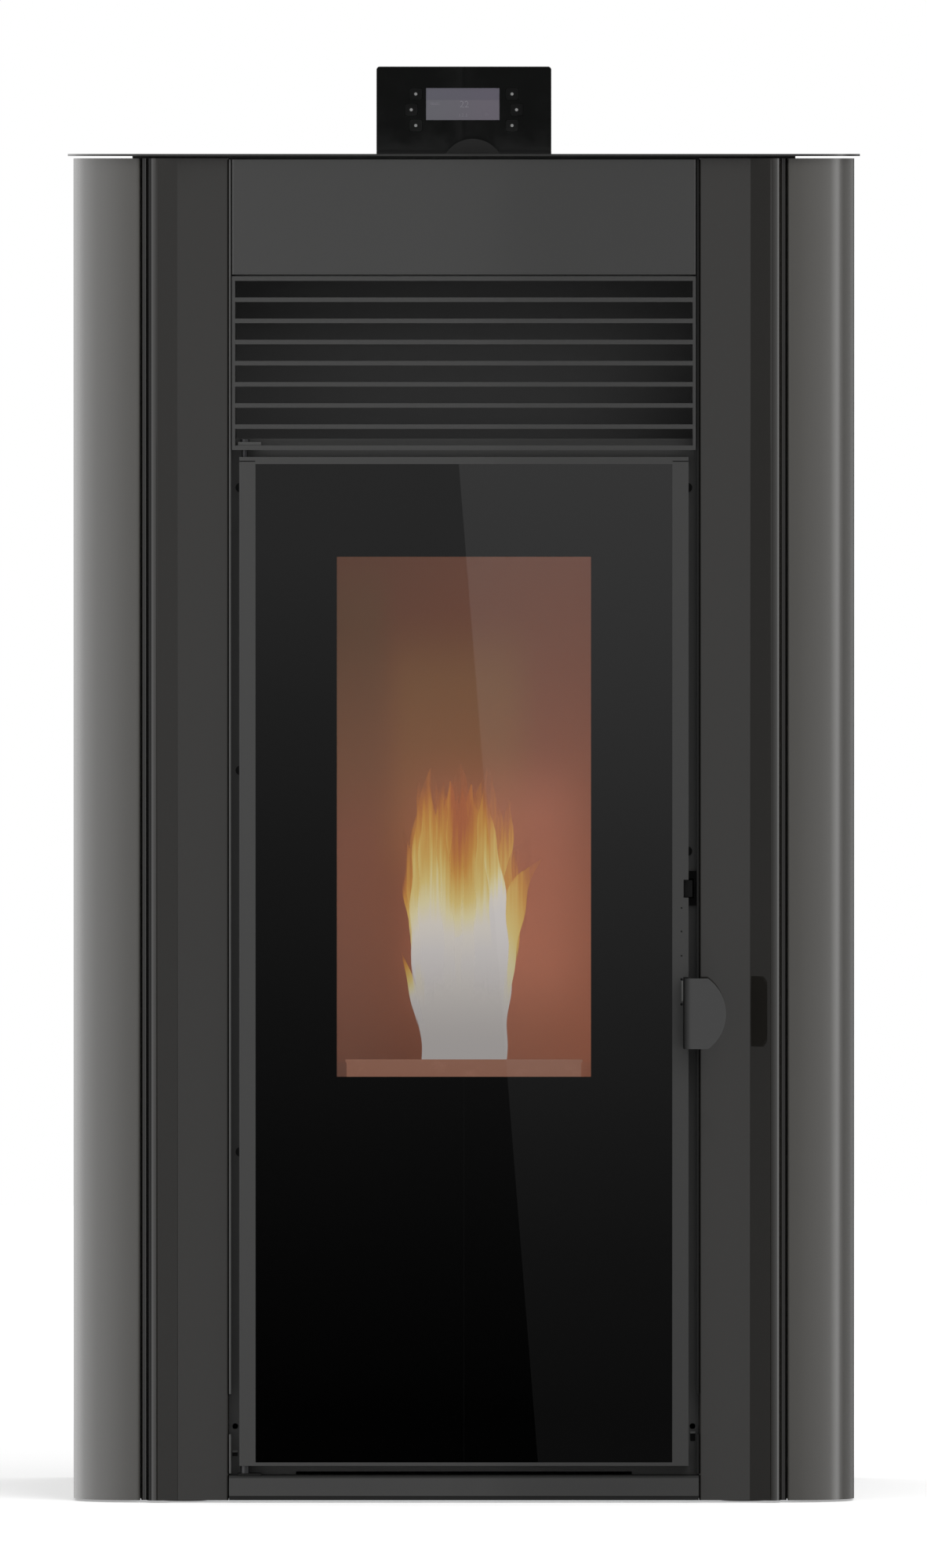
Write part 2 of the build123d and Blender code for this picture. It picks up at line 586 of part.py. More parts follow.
def front_frame():
    """Chassis front: a plate with the openings of fire, ash and warm air, and a flange on
    each side of the door."""
    frame = wide_block(CHASSIS_HALF, FRAME_SETBACK, FRAME_REAR_Y, FRAME_BOTTOM_Z, TOP_UNDER_Z)
    flange = block(FLANGE_X, FLANGE_X + FLANGE_THICKNESS, FLANGE_SETBACK, FRAME_SETBACK,
                   PLINTH_TOP_Z + PANEL_SIDE_GAP, UPPER_PANEL_TOP_Z)
    window_z = DOOR_BOTTOM_Z + FLANGE_WINDOW_LIFT
    flange -= block(FLANGE_X, FLANGE_X + FLANGE_THICKNESS, FLANGE_SETBACK,
                    FRAME_SETBACK - CHASSIS_SHEET, window_z, window_z + FLANGE_WINDOW_HEIGHT)
    frame += [flange, mirrored(flange)]
    slot_z = DOOR_BOTTOM_Z - AIR_SLOT_DROP
    hole_x = DOOR_HALF + DOOR_SIDE_GAP / 2
    hole = rod_y(FRAME_HOLE_RADIUS, hole_x, DOOR_BOTTOM_Z + FRAME_HOLE_LIFT,
                 FRAME_SETBACK, FRAME_REAR_Y)
    return frame - [
        wide_block(FIRE_OPENING_HALF, FRAME_SETBACK, FRAME_REAR_Y,
                   FIRE_OPENING_BOTTOM_Z, FIRE_OPENING_TOP_Z),
        wide_block(FIRE_OPENING_HALF, FRAME_SETBACK, FRAME_REAR_Y,
                   ASH_OPENING_BOTTOM_Z, ASH_OPENING_TOP_Z),
        wide_block(GRILLE_OPENING_WIDTH / 2, FRAME_SETBACK, FRAME_REAR_Y,
                   GRILLE_BOTTOM_Z + GRILLE_OPENING_LIFT, GRILLE_TOP_Z - GRILLE_OPENING_DROP),
        wide_block(AIR_SLOT_WIDTH / 2, FRAME_SETBACK, FRAME_REAR_Y,
                   slot_z, slot_z + AIR_SLOT_HEIGHT),
        latch_slot(FRAME_SETBACK, FRAME_REAR_Y), hole, mirrored(hole),
    ]


def side_frame():
    """The chassis's right side: a sheet whose rear edge is folded inwards."""
    outer_x, rear_y = CHASSIS_HALF, BACK_FRONT_Y - SIDE_FRAME_GAP
    corners = [(outer_x, FRAME_REAR_Y), (outer_x, rear_y), (outer_x - SIDE_FRAME_FLANGE, rear_y)]
    return folded_sheet(corners, [COVER_BEND], CHASSIS_SHEET, BASE_TOP_Z, TOP_UNDER_Z)


def back_panel():
    half = BODY_HALF + BACK_PROUD
    panel = wide_block(half, BACK_FRONT_Y, BODY_DEPTH, COVER_BOTTOM_Z, COVER_TOP_Z)
    for notch_z in (COVER_BOTTOM_Z + NOTCH_FROM_BOTTOM, COVER_TOP_Z - NOTCH_FROM_TOP):
        notch = block(half - CORNER_NOTCH_DEPTH, half, BACK_FRONT_Y, BODY_DEPTH,
                      notch_z - CORNER_NOTCH_HEIGHT / 2, notch_z + CORNER_NOTCH_HEIGHT / 2)
        panel -= [notch, mirrored(notch)]
    for row in range(VENT_COUNT):
        vent_z = VENT_Z + row * VENT_PITCH
        vent = wide_block(VENT_WIDTH / 2, BACK_FRONT_Y, BODY_DEPTH,
                          vent_z, vent_z + VENT_HEIGHT, x=VENT_X)
        panel -= [vent, mirrored(vent)]
    switch_half = ROCKER_WIDTH / 2 + ROCKER_WALL
    inlet_hole = block(INLET_X - INLET_WIDTH / 2, SWITCH_X + switch_half, BACK_FRONT_Y, BODY_DEPTH,
                       INLET_Z - INLET_HEIGHT / 2, INLET_Z + INLET_HEIGHT / 2)
    return panel - [
        rod_y(FLUE_RADIUS + PIPE_HOLE_CLEARANCE, FLUE_X, FLUE_Z, BACK_FRONT_Y, BODY_DEPTH),
        rod_y(AIR_PIPE_RADIUS + PIPE_HOLE_CLEARANCE, FLUE_X, AIR_PIPE_Z, BACK_FRONT_Y, BODY_DEPTH),
        inlet_hole,
    ]


def cover_screws():
    """Screw heads behind the door's edges and along the back panel's."""
    edge_x = DOOR_HALF - FRAME_SCREW_INSET
    places = [(-edge_x, z) for z in FRAME_SCREWS_LEFT_Z] + [(edge_x, z) for z in FRAME_SCREWS_RIGHT_Z]
    heads = [rod_y(FRAME_SCREW_RADIUS, x, z, FRAME_SETBACK - FRAME_SCREW_HEAD, FRAME_SETBACK)
             for x, z in places]
    height = COVER_TOP_Z - COVER_BOTTOM_Z - 2 * BACK_SCREW_INSET
    for row in range(BACK_SCREW_ROWS):
        z = COVER_BOTTOM_Z + BACK_SCREW_INSET + height * row / (BACK_SCREW_ROWS - 1)
        head = rod_y(BACK_SCREW_RADIUS, BODY_HALF - BACK_SCREW_INSET, z,
                     BODY_DEPTH, BODY_DEPTH + BACK_SCREW_HEAD)
        heads += [head, mirrored(head)]
    return heads


# ---------------------------------------------------------------- covers
def side_panel():
    """Right side panel: quarter-round front corner, flat side, rear edge folded inwards."""
    inner_x = SIDE_PANEL_INNER_X
    corners = [(inner_x, FRAME_SETBACK), (inner_x, SIDE_SETBACK), (BODY_HALF, SIDE_SETBACK),
               (BODY_HALF, BACK_FRONT_Y), (BODY_HALF - SIDE_REAR_FLANGE, BACK_FRONT_Y)]
    bends = [EDGE_FOLD, CORNER_RADIUS, COVER_BEND]
    return folded_sheet(corners, bends, COVER_SHEET, COVER_BOTTOM_Z, COVER_TOP_Z)


def pilaster():
    """Right pilaster: flat front, a rounded rib and a ledge at its outer edge, and returns
    that reach the front frame."""
    face_y, ledge_y = PILASTER_FACE_SETBACK, RIB_LEDGE_SETBACK
    rib_outer_x = PILASTER_OUTER_X - RIB_LEDGE_WIDTH
    rib_inner_x = rib_outer_x - RIB_WIDTH
    rib_corner_y = face_y - RIB_WIDTH * tan(radians(RIB_TILT))
    corners = [(PILASTER_INNER_X, FRAME_SETBACK), (PILASTER_INNER_X, face_y),
               (rib_inner_x, face_y), (rib_outer_x, rib_corner_y), (rib_outer_x, ledge_y),
               (PILASTER_OUTER_X, ledge_y), (PILASTER_OUTER_X, FRAME_SETBACK)]
    bends = [EDGE_FOLD, RIB_FOLD, RIB_ROUND, RIB_FOLD, EDGE_FOLD]
    return folded_sheet(corners, bends, COVER_SHEET, COVER_BOTTOM_Z, COVER_TOP_Z)


def upper_front_panel():
    """A shallow box whose edges are folded back onto the front frame."""
    half = FRONT_PANEL_HALF
    panel = wide_block(half, 0, FRAME_SETBACK, UPPER_PANEL_BOTTOM_Z, UPPER_PANEL_TOP_Z)
    panel = fillet(panel.edges().filter_by(Axis.Z).group_by(Axis.Y)[0], COVER_SHEET)
    return panel - wide_block(half - COVER_SHEET, COVER_SHEET, FRAME_SETBACK,
                              UPPER_PANEL_BOTTOM_Z + COVER_SHEET, UPPER_PANEL_TOP_Z - COVER_SHEET)


def air_grille():
    """Tilted slats between two side strips. The lowest one leaves room for the hinge pin."""
    side = block(FRONT_PANEL_HALF - GRILLE_SIDE, FRONT_PANEL_HALF, 0, FRAME_SETBACK,
                 GRILLE_BOTTOM_Z, GRILLE_TOP_Z)
    grille = side + mirrored(side)
    half = FRONT_PANEL_HALF - GRILLE_SIDE / 2
    room = GRILLE_TOP_Z - GRILLE_BOTTOM_Z - SLAT_HEIGHT
    gaps = max(1, round(room / SLAT_SPACING))
    pitch = room / gaps
    lean = (SLAT_DEPTH - SLAT_HEIGHT) * sin(radians(SLAT_TILT))
    for row in range(gaps + 1):
        z = GRILLE_BOTTOM_Z + pitch * row
        section = Polygon((0, z), (SLAT_DEPTH, z), (SLAT_DEPTH, z + SLAT_HEIGHT - lean),
                          (SLAT_HEIGHT / 2, z + SLAT_HEIGHT), (0, z + SLAT_HEIGHT), align=None)
        grille += Pos(-half, 0, 0) * extrude(Plane.YZ * section, 2 * half)
    pin_room = rod_z(PIN_RADIUS + PIN_NOTCH_CLEARANCE, HINGE_X, HINGE_DEPTH,
                     GRILLE_BOTTOM_Z, GRILLE_BOTTOM_Z + SLAT_HEIGHT)
    return grille - pin_room


def plinth_panel():
    """The strip at the floor, with rounded long edges. Its top leaves room for the hinge."""
    half = PILASTER_INNER_X - FLANGE_CLEARANCE
    panel = wide_block(half, 0, FRAME_SETBACK, COVER_BOTTOM_Z, PLINTH_TOP_Z)
    panel = fillet(panel.edges().filter_by(Axis.X).group_by(Axis.Y)[0], PLINTH_BEND)
    panel -= wide_block(half - COVER_SHEET, COVER_SHEET, FRAME_SETBACK,
                        COVER_BOTTOM_Z + COVER_SHEET, PLINTH_TOP_Z - COVER_SHEET)
    left, right, bottom = bracket_span(PIN_NOTCH_CLEARANCE)
    return panel - block(left, right, BRACKET_SETBACK - PIN_NOTCH_CLEARANCE, FRAME_SETBACK,
                         bottom, PLINTH_TOP_Z)


# ---------------------------------------------------------------- hinges, latch, handle
def bracket_span(margin=0.0):
    """Left and right end of the hinge brackets, and the lower one's underside."""
    left = HINGE_X - BRACKET_REACH - margin
    right = HINGE_X - BRACKET_REACH + BRACKET_WIDTH + margin
    return left, right, DOOR_BOTTOM_Z - BOTTOM_PIN_GAP - BRACKET_THICKNESS - margin


def hinge_bracket(bottom_z):
    left, right, _ = bracket_span()
    bracket = block(left, right, BRACKET_SETBACK, FRAME_SETBACK, bottom_z,
                    bottom_z + BRACKET_THICKNESS)
    return bracket - rod_z(PIN_RADIUS + PIN_CLEARANCE, HINGE_X, HINGE_DEPTH,
                           bottom_z, bottom_z + BRACKET_THICKNESS)


def upper_pin():
    bracket_top_z = DOOR_TOP_Z + TOP_PIN_GAP + BRACKET_THICKNESS
    shank = rod_z(PIN_RADIUS, HINGE_X, HINGE_DEPTH, DOOR_TOP_Z - PIN_ENGAGEMENT, bracket_top_z)
    return shank + rod_z(PIN_HEAD_RADIUS, HINGE_X, HINGE_DEPTH, bracket_top_z,
                         bracket_top_z + PIN_HEAD_HEIGHT)


def lower_pin():
    bracket_top_z = DOOR_BOTTOM_Z - BOTTOM_PIN_GAP
    shank = rod_z(PIN_RADIUS, HINGE_X, HINGE_DEPTH, bracket_top_z - BRACKET_THICKNESS,
                  DOOR_BOTTOM_Z + PIN_ENGAGEMENT)
    return shank + rod_z(PIN_HEAD_RADIUS, HINGE_X, HINGE_DEPTH, bracket_top_z,
                         DOOR_BOTTOM_Z - DOOR_REST_GAP)


def latch_keeper():
    hook_left = ROD_X + HOOK_OFFSET - HOOK_NOSE
    plate = block(hook_left - KEEPER_MARGIN, FLANGE_X - FLANGE_CLEARANCE,
                  FRAME_SETBACK - KEEPER_THICKNESS, FRAME_SETBACK,
                  HOOK_BOTTOM_Z - KEEPER_MARGIN, HOOK_BOTTOM_Z + HOOK_HEIGHT + KEEPER_MARGIN)
    return plate - latch_slot(FRAME_SETBACK - KEEPER_THICKNESS, FRAME_SETBACK)


def door_handle():
    """A D-shaped sheet, folded from its stem to lie parallel to the door."""
    stem_x = ROD_X + HANDLE_OFFSET
    corners = [(stem_x, ROD_DEPTH + HANDLE_TAIL), (stem_x, -HANDLE_REACH),
               (stem_x + HANDLE_WIDTH, -HANDLE_REACH)]
    sheet = folded_sheet(corners, [HANDLE_BEND], HANDLE_SHEET,
                         HANDLE_BOTTOM_Z, HANDLE_BOTTOM_Z + HANDLE_HEIGHT)
    bottom, top = HANDLE_BOTTOM_Z, HANDLE_BOTTOM_Z + HANDLE_HEIGHT
    straight_x = stem_x + HANDLE_STRAIGHT
    tip = (stem_x + HANDLE_WIDTH, (bottom + top) / 2)
    outline = make_face([
        Line((straight_x, top), (stem_x, top)), Line((stem_x, top), (stem_x, bottom)),
        Line((stem_x, bottom), (straight_x, bottom)),
        ThreePointArc((straight_x, bottom), tip, (straight_x, top)),
    ])
    reach = HANDLE_REACH + ROD_DEPTH + HANDLE_TAIL
    profile = Plane.XZ * outline
    d_shape = Pos(0, ROD_DEPTH + HANDLE_TAIL, 0) * extrude(profile, reach)
    rod = rod_z(ROD_RADIUS, ROD_X, ROD_DEPTH, bottom, top)
    return (sheet & d_shape) - rod


def latch_hook():
    """The upright rod in the door's stile, with the hook that grips behind the keeper."""
    top_z = HOOK_BOTTOM_Z + HOOK_HEIGHT
    rod = rod_z(ROD_RADIUS, ROD_X, ROD_DEPTH, HANDLE_BOTTOM_Z - ROD_END, top_z + ROD_END)
    arm_x = ROD_X + HOOK_OFFSET
    half = HOOK_THICKNESS / 2
    tip_y = ROD_DEPTH + HOOK_REACH
    lug = block(ROD_X, arm_x, ROD_DEPTH - half, ROD_DEPTH + half, HOOK_BOTTOM_Z, top_z)
    arm = block(arm_x, arm_x + HOOK_THICKNESS, ROD_DEPTH - half, tip_y, HOOK_BOTTOM_Z, top_z)
    nose = block(arm_x - HOOK_NOSE, arm_x, tip_y - HOOK_THICKNESS, tip_y, HOOK_BOTTOM_Z, top_z)
    return rod + lug + arm + nose


# ---------------------------------------------------------------- fire door
def glass_opening(y0, y1, margin=0.0):
    return wide_block(GLASS_OPENING_HALF + margin, y0, y1,
                      DOOR_BOTTOM_Z + BOTTOM_RAIL - margin, DOOR_TOP_Z - TOP_RAIL + margin)


def window(y0, y1, margin):
    return wide_block(WINDOW_WIDTH / 2 + margin, y0, y1,
                      WINDOW_BOTTOM_Z - margin, WINDOW_BOTTOM_Z + WINDOW_HEIGHT + margin)


def door_frame():
    """Two stiles, two rails and the plate behind the glass, welded into one piece."""
    rear_y = DOOR_DEPTH - DOOR_PROUD
    frame = wide_block(DOOR_HALF, -DOOR_PROUD, rear_y, DOOR_BOTTOM_Z, DOOR_TOP_Z)
    frame -= glass_opening(-DOOR_PROUD, GLASS_FRONT_Y)
    frame -= glass_opening(GLASS_FRONT_Y, BACK_PLATE_Y, GLASS_REBATE)
    frame -= glass_opening(ROPE_FRONT_Y, rear_y)
    frame -= window(BACK_PLATE_Y, ROPE_FRONT_Y, WINDOW_MARGIN)
    bore = PIN_RADIUS + PIN_CLEARANCE
    frame -= rod_z(bore, HINGE_X, HINGE_DEPTH, DOOR_TOP_Z - PIN_ENGAGEMENT - 1, DOOR_TOP_Z)
    frame -= rod_z(bore, HINGE_X, HINGE_DEPTH, DOOR_BOTTOM_Z, DOOR_BOTTOM_Z + PIN_ENGAGEMENT + 1)
    rod_room = ROD_END + NOTCH_CLEARANCE
    hook_top = HOOK_BOTTOM_Z + HOOK_HEIGHT
    frame -= rod_z(ROD_RADIUS + ROD_CLEARANCE, ROD_X, ROD_DEPTH,
                   HANDLE_BOTTOM_Z - rod_room, hook_top + rod_room)
    frame -= block(ROD_X + HANDLE_OFFSET - NOTCH_CLEARANCE, DOOR_HALF, -DOOR_PROUD,
                   ROD_DEPTH + ROD_RADIUS + HANDLE_TAIL, HANDLE_BOTTOM_Z - NOTCH_CLEARANCE,
                   HANDLE_BOTTOM_Z + HANDLE_HEIGHT + NOTCH_CLEARANCE)
    frame -= block(ROD_X + HOOK_THICKNESS / 2 + NOTCH_CLEARANCE, DOOR_HALF, -DOOR_PROUD, rear_y,
                   HOOK_BOTTOM_Z - NOTCH_CLEARANCE, hook_top + NOTCH_CLEARANCE)
    return frame


def door_glass():
    return glass_opening(GLASS_FRONT_Y, GLASS_REAR_Y, GLASS_REBATE - GLASS_CLEARANCE)


def rope_loop(half_width, bottom_z, top_z):
    """A pressed rope seal round one opening of the front frame."""
    mid_x = half_width + ROPE_OVERLAP
    low, high = bottom_z - ROPE_OVERLAP, top_z + ROPE_OVERLAP
    width, height, middle = 2 * mid_x, high - low, (high + low) / 2
    outer = RectangleRounded(width + ROPE_WIDTH, height + ROPE_WIDTH, ROPE_CORNER)
    inner = RectangleRounded(width - ROPE_WIDTH, height - ROPE_WIDTH, ROPE_CORNER - ROPE_WIDTH)
    depth = FRAME_SETBACK - SEAL_CLEARANCE - ROPE_FRONT_Y
    ring = extrude(outer - inner, depth)
    ring = fillet(ring.edges().filter_by(Plane.XY), ROPE_WIDTH / 3)
    return Pos(0, ROPE_FRONT_Y + depth, middle) * Rot(90, 0, 0) * ring


def door_seals():
    """Rope round the fire opening and the ash opening, and tape between glass and plate."""
    tape = window(GLASS_REAR_Y, BACK_PLATE_Y, WINDOW_MARGIN + TAPE_WIDTH)
    tape -= window(GLASS_REAR_Y, BACK_PLATE_Y, WINDOW_MARGIN)
    return [rope_loop(FIRE_OPENING_HALF, FIRE_OPENING_BOTTOM_Z + ROPE_WIDTH, FIRE_OPENING_TOP_Z),
            rope_loop(FIRE_OPENING_HALF, ASH_OPENING_BOTTOM_Z, ASH_OPENING_TOP_Z - ROPE_WIDTH),
            tape]


# ---------------------------------------------------------------- fire chamber
def chute(radius):
    """The sloping pipe that drops pellets from the auger tube into the fire."""
    start = Vector(0, FIREBOX_REAR_Y + CHUTE_START, AUGER_Z - CHUTE_DROP)
    slope = Plane(origin=start, z_dir=(0, -1, -1))
    return slope * extrude(Circle(radius), CHUTE_LENGTH)


def firebox_shell():
    box = wide_block(FIREBOX_HALF, FRAME_REAR_Y, FIREBOX_REAR_Y, FIREBOX_BOTTOM_Z, FIREBOX_TOP_Z)
    box -= wide_block(FIREBOX_INNER_HALF, FRAME_REAR_Y, FIREBOX_INNER_REAR_Y,
                      FIREBOX_FLOOR_Z, SHELF_Z - FIREBOX_WALL)
    box -= wide_block(FIREBOX_INNER_HALF, FRAME_REAR_Y, FIREBOX_INNER_REAR_Y,
                      SHELF_Z, FIREBOX_TOP_Z - FIREBOX_WALL)
    box -= wide_block(ASH_HOLE_WIDTH / 2, POT_Y - ASH_HOLE_DEPTH / 2, POT_Y + ASH_HOLE_DEPTH / 2,
                      SHELF_Z - FIREBOX_WALL, SHELF_Z)
    inner_y = FIREBOX_INNER_REAR_Y
    return box - [
        chute(CHUTE_RADIUS + CHUTE_CLEARANCE),
        rod_y(IGNITER_RADIUS + IGNITER_CLEARANCE, 0, IGNITER_Z, inner_y, FIREBOX_REAR_Y),
        rod_y(FAN_INLET_RADIUS, FAN_X, FAN_Z, inner_y, FIREBOX_REAR_Y),
        rod_y(AIR_PIPE_RADIUS - AIR_PIPE_WALL, FLUE_X, AIR_PIPE_Z, inner_y, FIREBOX_REAR_Y),
    ]


def firebox_lining():
    """Three upright fire-clay plates: one behind the fire and one at each side."""
    front_y = FIREBOX_INNER_REAR_Y - LINING_THICKNESS
    rear = wide_block(FIREBOX_INNER_HALF - LINING_CLEARANCE, front_y, FIREBOX_INNER_REAR_Y,
                      SHELF_Z, LINING_TOP_Z)
    rear -= chute(CHUTE_RADIUS + CHUTE_CLEARANCE)
    rear -= rod_y(IGNITER_RADIUS + IGNITER_CLEARANCE, 0, IGNITER_Z, front_y, FIREBOX_INNER_REAR_Y)
    side = block(LINING_INNER_HALF, FIREBOX_INNER_HALF, FRAME_REAR_Y + LINING_CLEARANCE, front_y,
                 SHELF_Z, LINING_TOP_Z)
    return [rear, side, mirrored(side)]


def baffle_plate():
    return wide_block(FIREBOX_INNER_HALF - LINING_CLEARANCE, FRAME_REAR_Y + BAFFLE_SETBACK,
                      FIREBOX_INNER_REAR_Y, LINING_TOP_Z, LINING_TOP_Z + BAFFLE_THICKNESS)


def burn_pot_support():
    """A bench on the shelf with a hole for the pot and an upright ledge at its front."""
    half = LINING_INNER_HALF - LINING_CLEARANCE
    front_y = FRAME_REAR_Y + SUPPORT_SETBACK
    rear_y = front_y + SUPPORT_DEPTH
    bench = wide_block(half, front_y, rear_y, SHELF_Z, SUPPORT_TOP_Z)
    bench -= wide_block(half - SUPPORT_SHEET, front_y, rear_y, SHELF_Z,
                        SUPPORT_TOP_Z - SUPPORT_SHEET)
    bench += wide_block(LEDGE_WIDTH / 2, front_y, front_y + SUPPORT_SHEET,
                        SHELF_Z, SUPPORT_TOP_Z + LEDGE_HEIGHT)
    room = POT_DEPTH / 2 + POT_CLEARANCE
    return bench - wide_block(POT_WIDTH / 2 + POT_CLEARANCE, POT_Y - room, POT_Y + room,
                              SUPPORT_TOP_Z - SUPPORT_SHEET, SUPPORT_TOP_Z)


def burn_pot():
    rim_top = SUPPORT_TOP_Z + POT_RIM_THICKNESS
    bottom = rim_top - POT_HEIGHT
    half_x, half_y = POT_WIDTH / 2, POT_DEPTH / 2
    pot = wide_block(half_x, POT_Y - half_y, POT_Y + half_y, bottom, rim_top)
    pot += wide_block(half_x + POT_RIM, POT_Y - half_y - POT_RIM, POT_Y + half_y + POT_RIM,
                      SUPPORT_TOP_Z, rim_top)
    pot -= wide_block(half_x - POT_WALL, POT_Y - half_y + POT_WALL, POT_Y + half_y - POT_WALL,
                      bottom + POT_WALL, rim_top)
    for column in range(-2, 3):
        for row in range(-1, 2):
            pot -= rod_z(POT_HOLE_RADIUS, column * POT_HOLE_PITCH, POT_Y + row * POT_HOLE_PITCH,
                         bottom, bottom + POT_WALL)
    return pot


def ash_drawer():
    """An open tray with a rolled grip, which stands on the firebox's floor."""
    half = FIRE_OPENING_HALF - DRAWER_CLEARANCE
    front_y = FRAME_REAR_Y + DRAWER_CLEARANCE
    rear_y = FIREBOX_INNER_REAR_Y - DRAWER_REAR_GAP
    top_z = ASH_OPENING_BOTTOM_Z + DRAWER_HEIGHT
    drawer = tray(half, front_y, rear_y, FIREBOX_FLOOR_Z, top_z, DRAWER_SHEET)
    grip_y = front_y - 2 * DRAWER_SHEET
    return drawer + wide_block(DRAWER_GRIP / 2, grip_y, front_y, top_z - DRAWER_SHEET, top_z)


# ---------------------------------------------------------------- hopper, lid, top plate
def top_plate():
    """The top sheet with the lid's opening, and the two lugs that carry the lid's pins."""
    half = BODY_HALF + TOP_OVERHANG
    plate = wide_block(half, -TOP_OVERHANG, BODY_DEPTH, TOP_UNDER_Z, TOP_SURFACE_Z)
    front = plate.edges().filter_by(Axis.Z).group_by(Axis.Y)[0]
    plate = fillet(front, CORNER_RADIUS + TOP_OVERHANG)
    plate -= wide_block(LID_WIDTH / 2 + LID_GAP, LID_FRONT_Y - LID_GAP, LID_REAR_Y + LID_GAP,
                        TOP_UNDER_Z, TOP_SURFACE_Z)
    lug_x = LID_WIDTH / 2 + LUG_GAP
    lug = block(lug_x, lug_x + LUG_THICKNESS, LID_PIN_Y - LUG_WIDTH / 2, LID_PIN_Y + LUG_WIDTH / 2,
                TOP_UNDER_Z - LID_RIM, TOP_UNDER_Z)
    lug -= rod_x(LID_PIN_RADIUS + PIN_CLEARANCE, LID_PIN_Y, LID_PIN_Z,
                 lug_x, lug_x + LUG_THICKNESS)
    return plate + [lug, mirrored(lug)]


def hopper_lid():
    """A flush lid with folded-down rims, pivot pins, and a half-moon tab to lift it by."""
    half = LID_WIDTH / 2
    lid = wide_block(half, LID_FRONT_Y, LID_REAR_Y, TOP_UNDER_Z, TOP_SURFACE_Z)
    rim_z = TOP_UNDER_Z - LID_RIM
    lid += wide_block(half, LID_FRONT_Y, LID_FRONT_Y + COVER_SHEET, rim_z, TOP_UNDER_Z)
    lid += wide_block(half, LID_REAR_Y - COVER_SHEET, LID_REAR_Y,
                      TOP_UNDER_Z - LID_REAR_RIM, TOP_UNDER_Z)
    side = block(half - COVER_SHEET, half, LID_FRONT_Y, LID_PIN_Y + LUG_WIDTH / 4,
                 rim_z, TOP_UNDER_Z)
    pin = rod_x(LID_PIN_RADIUS, LID_PIN_Y, LID_PIN_Z, half - COVER_SHEET, half + LID_PIN_LENGTH)
    lid += [side, mirrored(side), pin, mirrored(pin)]
    left, right = TAB_X - TAB_WIDTH / 2, TAB_X + TAB_WIDTH / 2
    tab = make_face([
        ThreePointArc((right, TOP_SURFACE_Z), (TAB_X, TOP_SURFACE_Z + TAB_HEIGHT),
                      (left, TOP_SURFACE_Z)),
        Line((left, TOP_SURFACE_Z), (right, TOP_SURFACE_Z)),
    ])
    lid += Pos(0, LID_FRONT_Y + COVER_SHEET, 0) * extrude(Plane.XZ * tab, COVER_SHEET)
    return lid


def hopper_form(growth):
    """The hopper's space, or with growth its outside: a straight mouth over a funnel."""
    mouth_half = LID_WIDTH / 2 + LID_GAP + HOPPER_MARGIN + growth
    front_y = LID_FRONT_Y - LID_GAP - growth
    rear_y = LID_REAR_Y + LID_GAP + HOPPER_MARGIN + growth
    knee_z = TOP_UNDER_Z - HOPPER_STRAIGHT
    mouth = wide_block(mouth_half, front_y, rear_y, knee_z, TOP_UNDER_Z)
    middle_y = (front_y + rear_y) / 2
    top = Pos(0, middle_y, knee_z) * Rectangle(2 * mouth_half, rear_y - front_y)
    outlet = Pos(0, OUTLET_Y, HOPPER_SEAT_Z) * Rectangle(
        HOPPER_OUTLET_WIDTH + 2 * growth, HOPPER_OUTLET_DEPTH + 2 * growth)
    return mouth + loft([outlet, top])


def outlet_flange(z0, z1):
    return wide_block(HOPPER_OUTLET_WIDTH / 2 + THROAT_FLANGE,
                      OUTLET_Y - HOPPER_OUTLET_DEPTH / 2 - THROAT_FLANGE,
                      OUTLET_Y + HOPPER_OUTLET_DEPTH / 2 + THROAT_FLANGE, z0, z1)


def hopper():
    """The pellet store, hung from the top plate by its flange and seated on the auger."""
    mouth_half = LID_WIDTH / 2 + LID_GAP + HOPPER_MARGIN + HOPPER_FLANGE
    front_y = LID_FRONT_Y - LID_GAP - HOPPER_FLANGE
    rear_y = LID_REAR_Y + LID_GAP + HOPPER_MARGIN + HOPPER_FLANGE
    shell = hopper_form(HOPPER_SHEET)
    shell += wide_block(mouth_half, front_y, rear_y, TOP_UNDER_Z - HOPPER_SHEET, TOP_UNDER_Z)
    shell += outlet_flange(HOPPER_SEAT_Z, HOPPER_SEAT_Z + THROAT_FLANGE_THICKNESS)
    return shell - hopper_form(0)


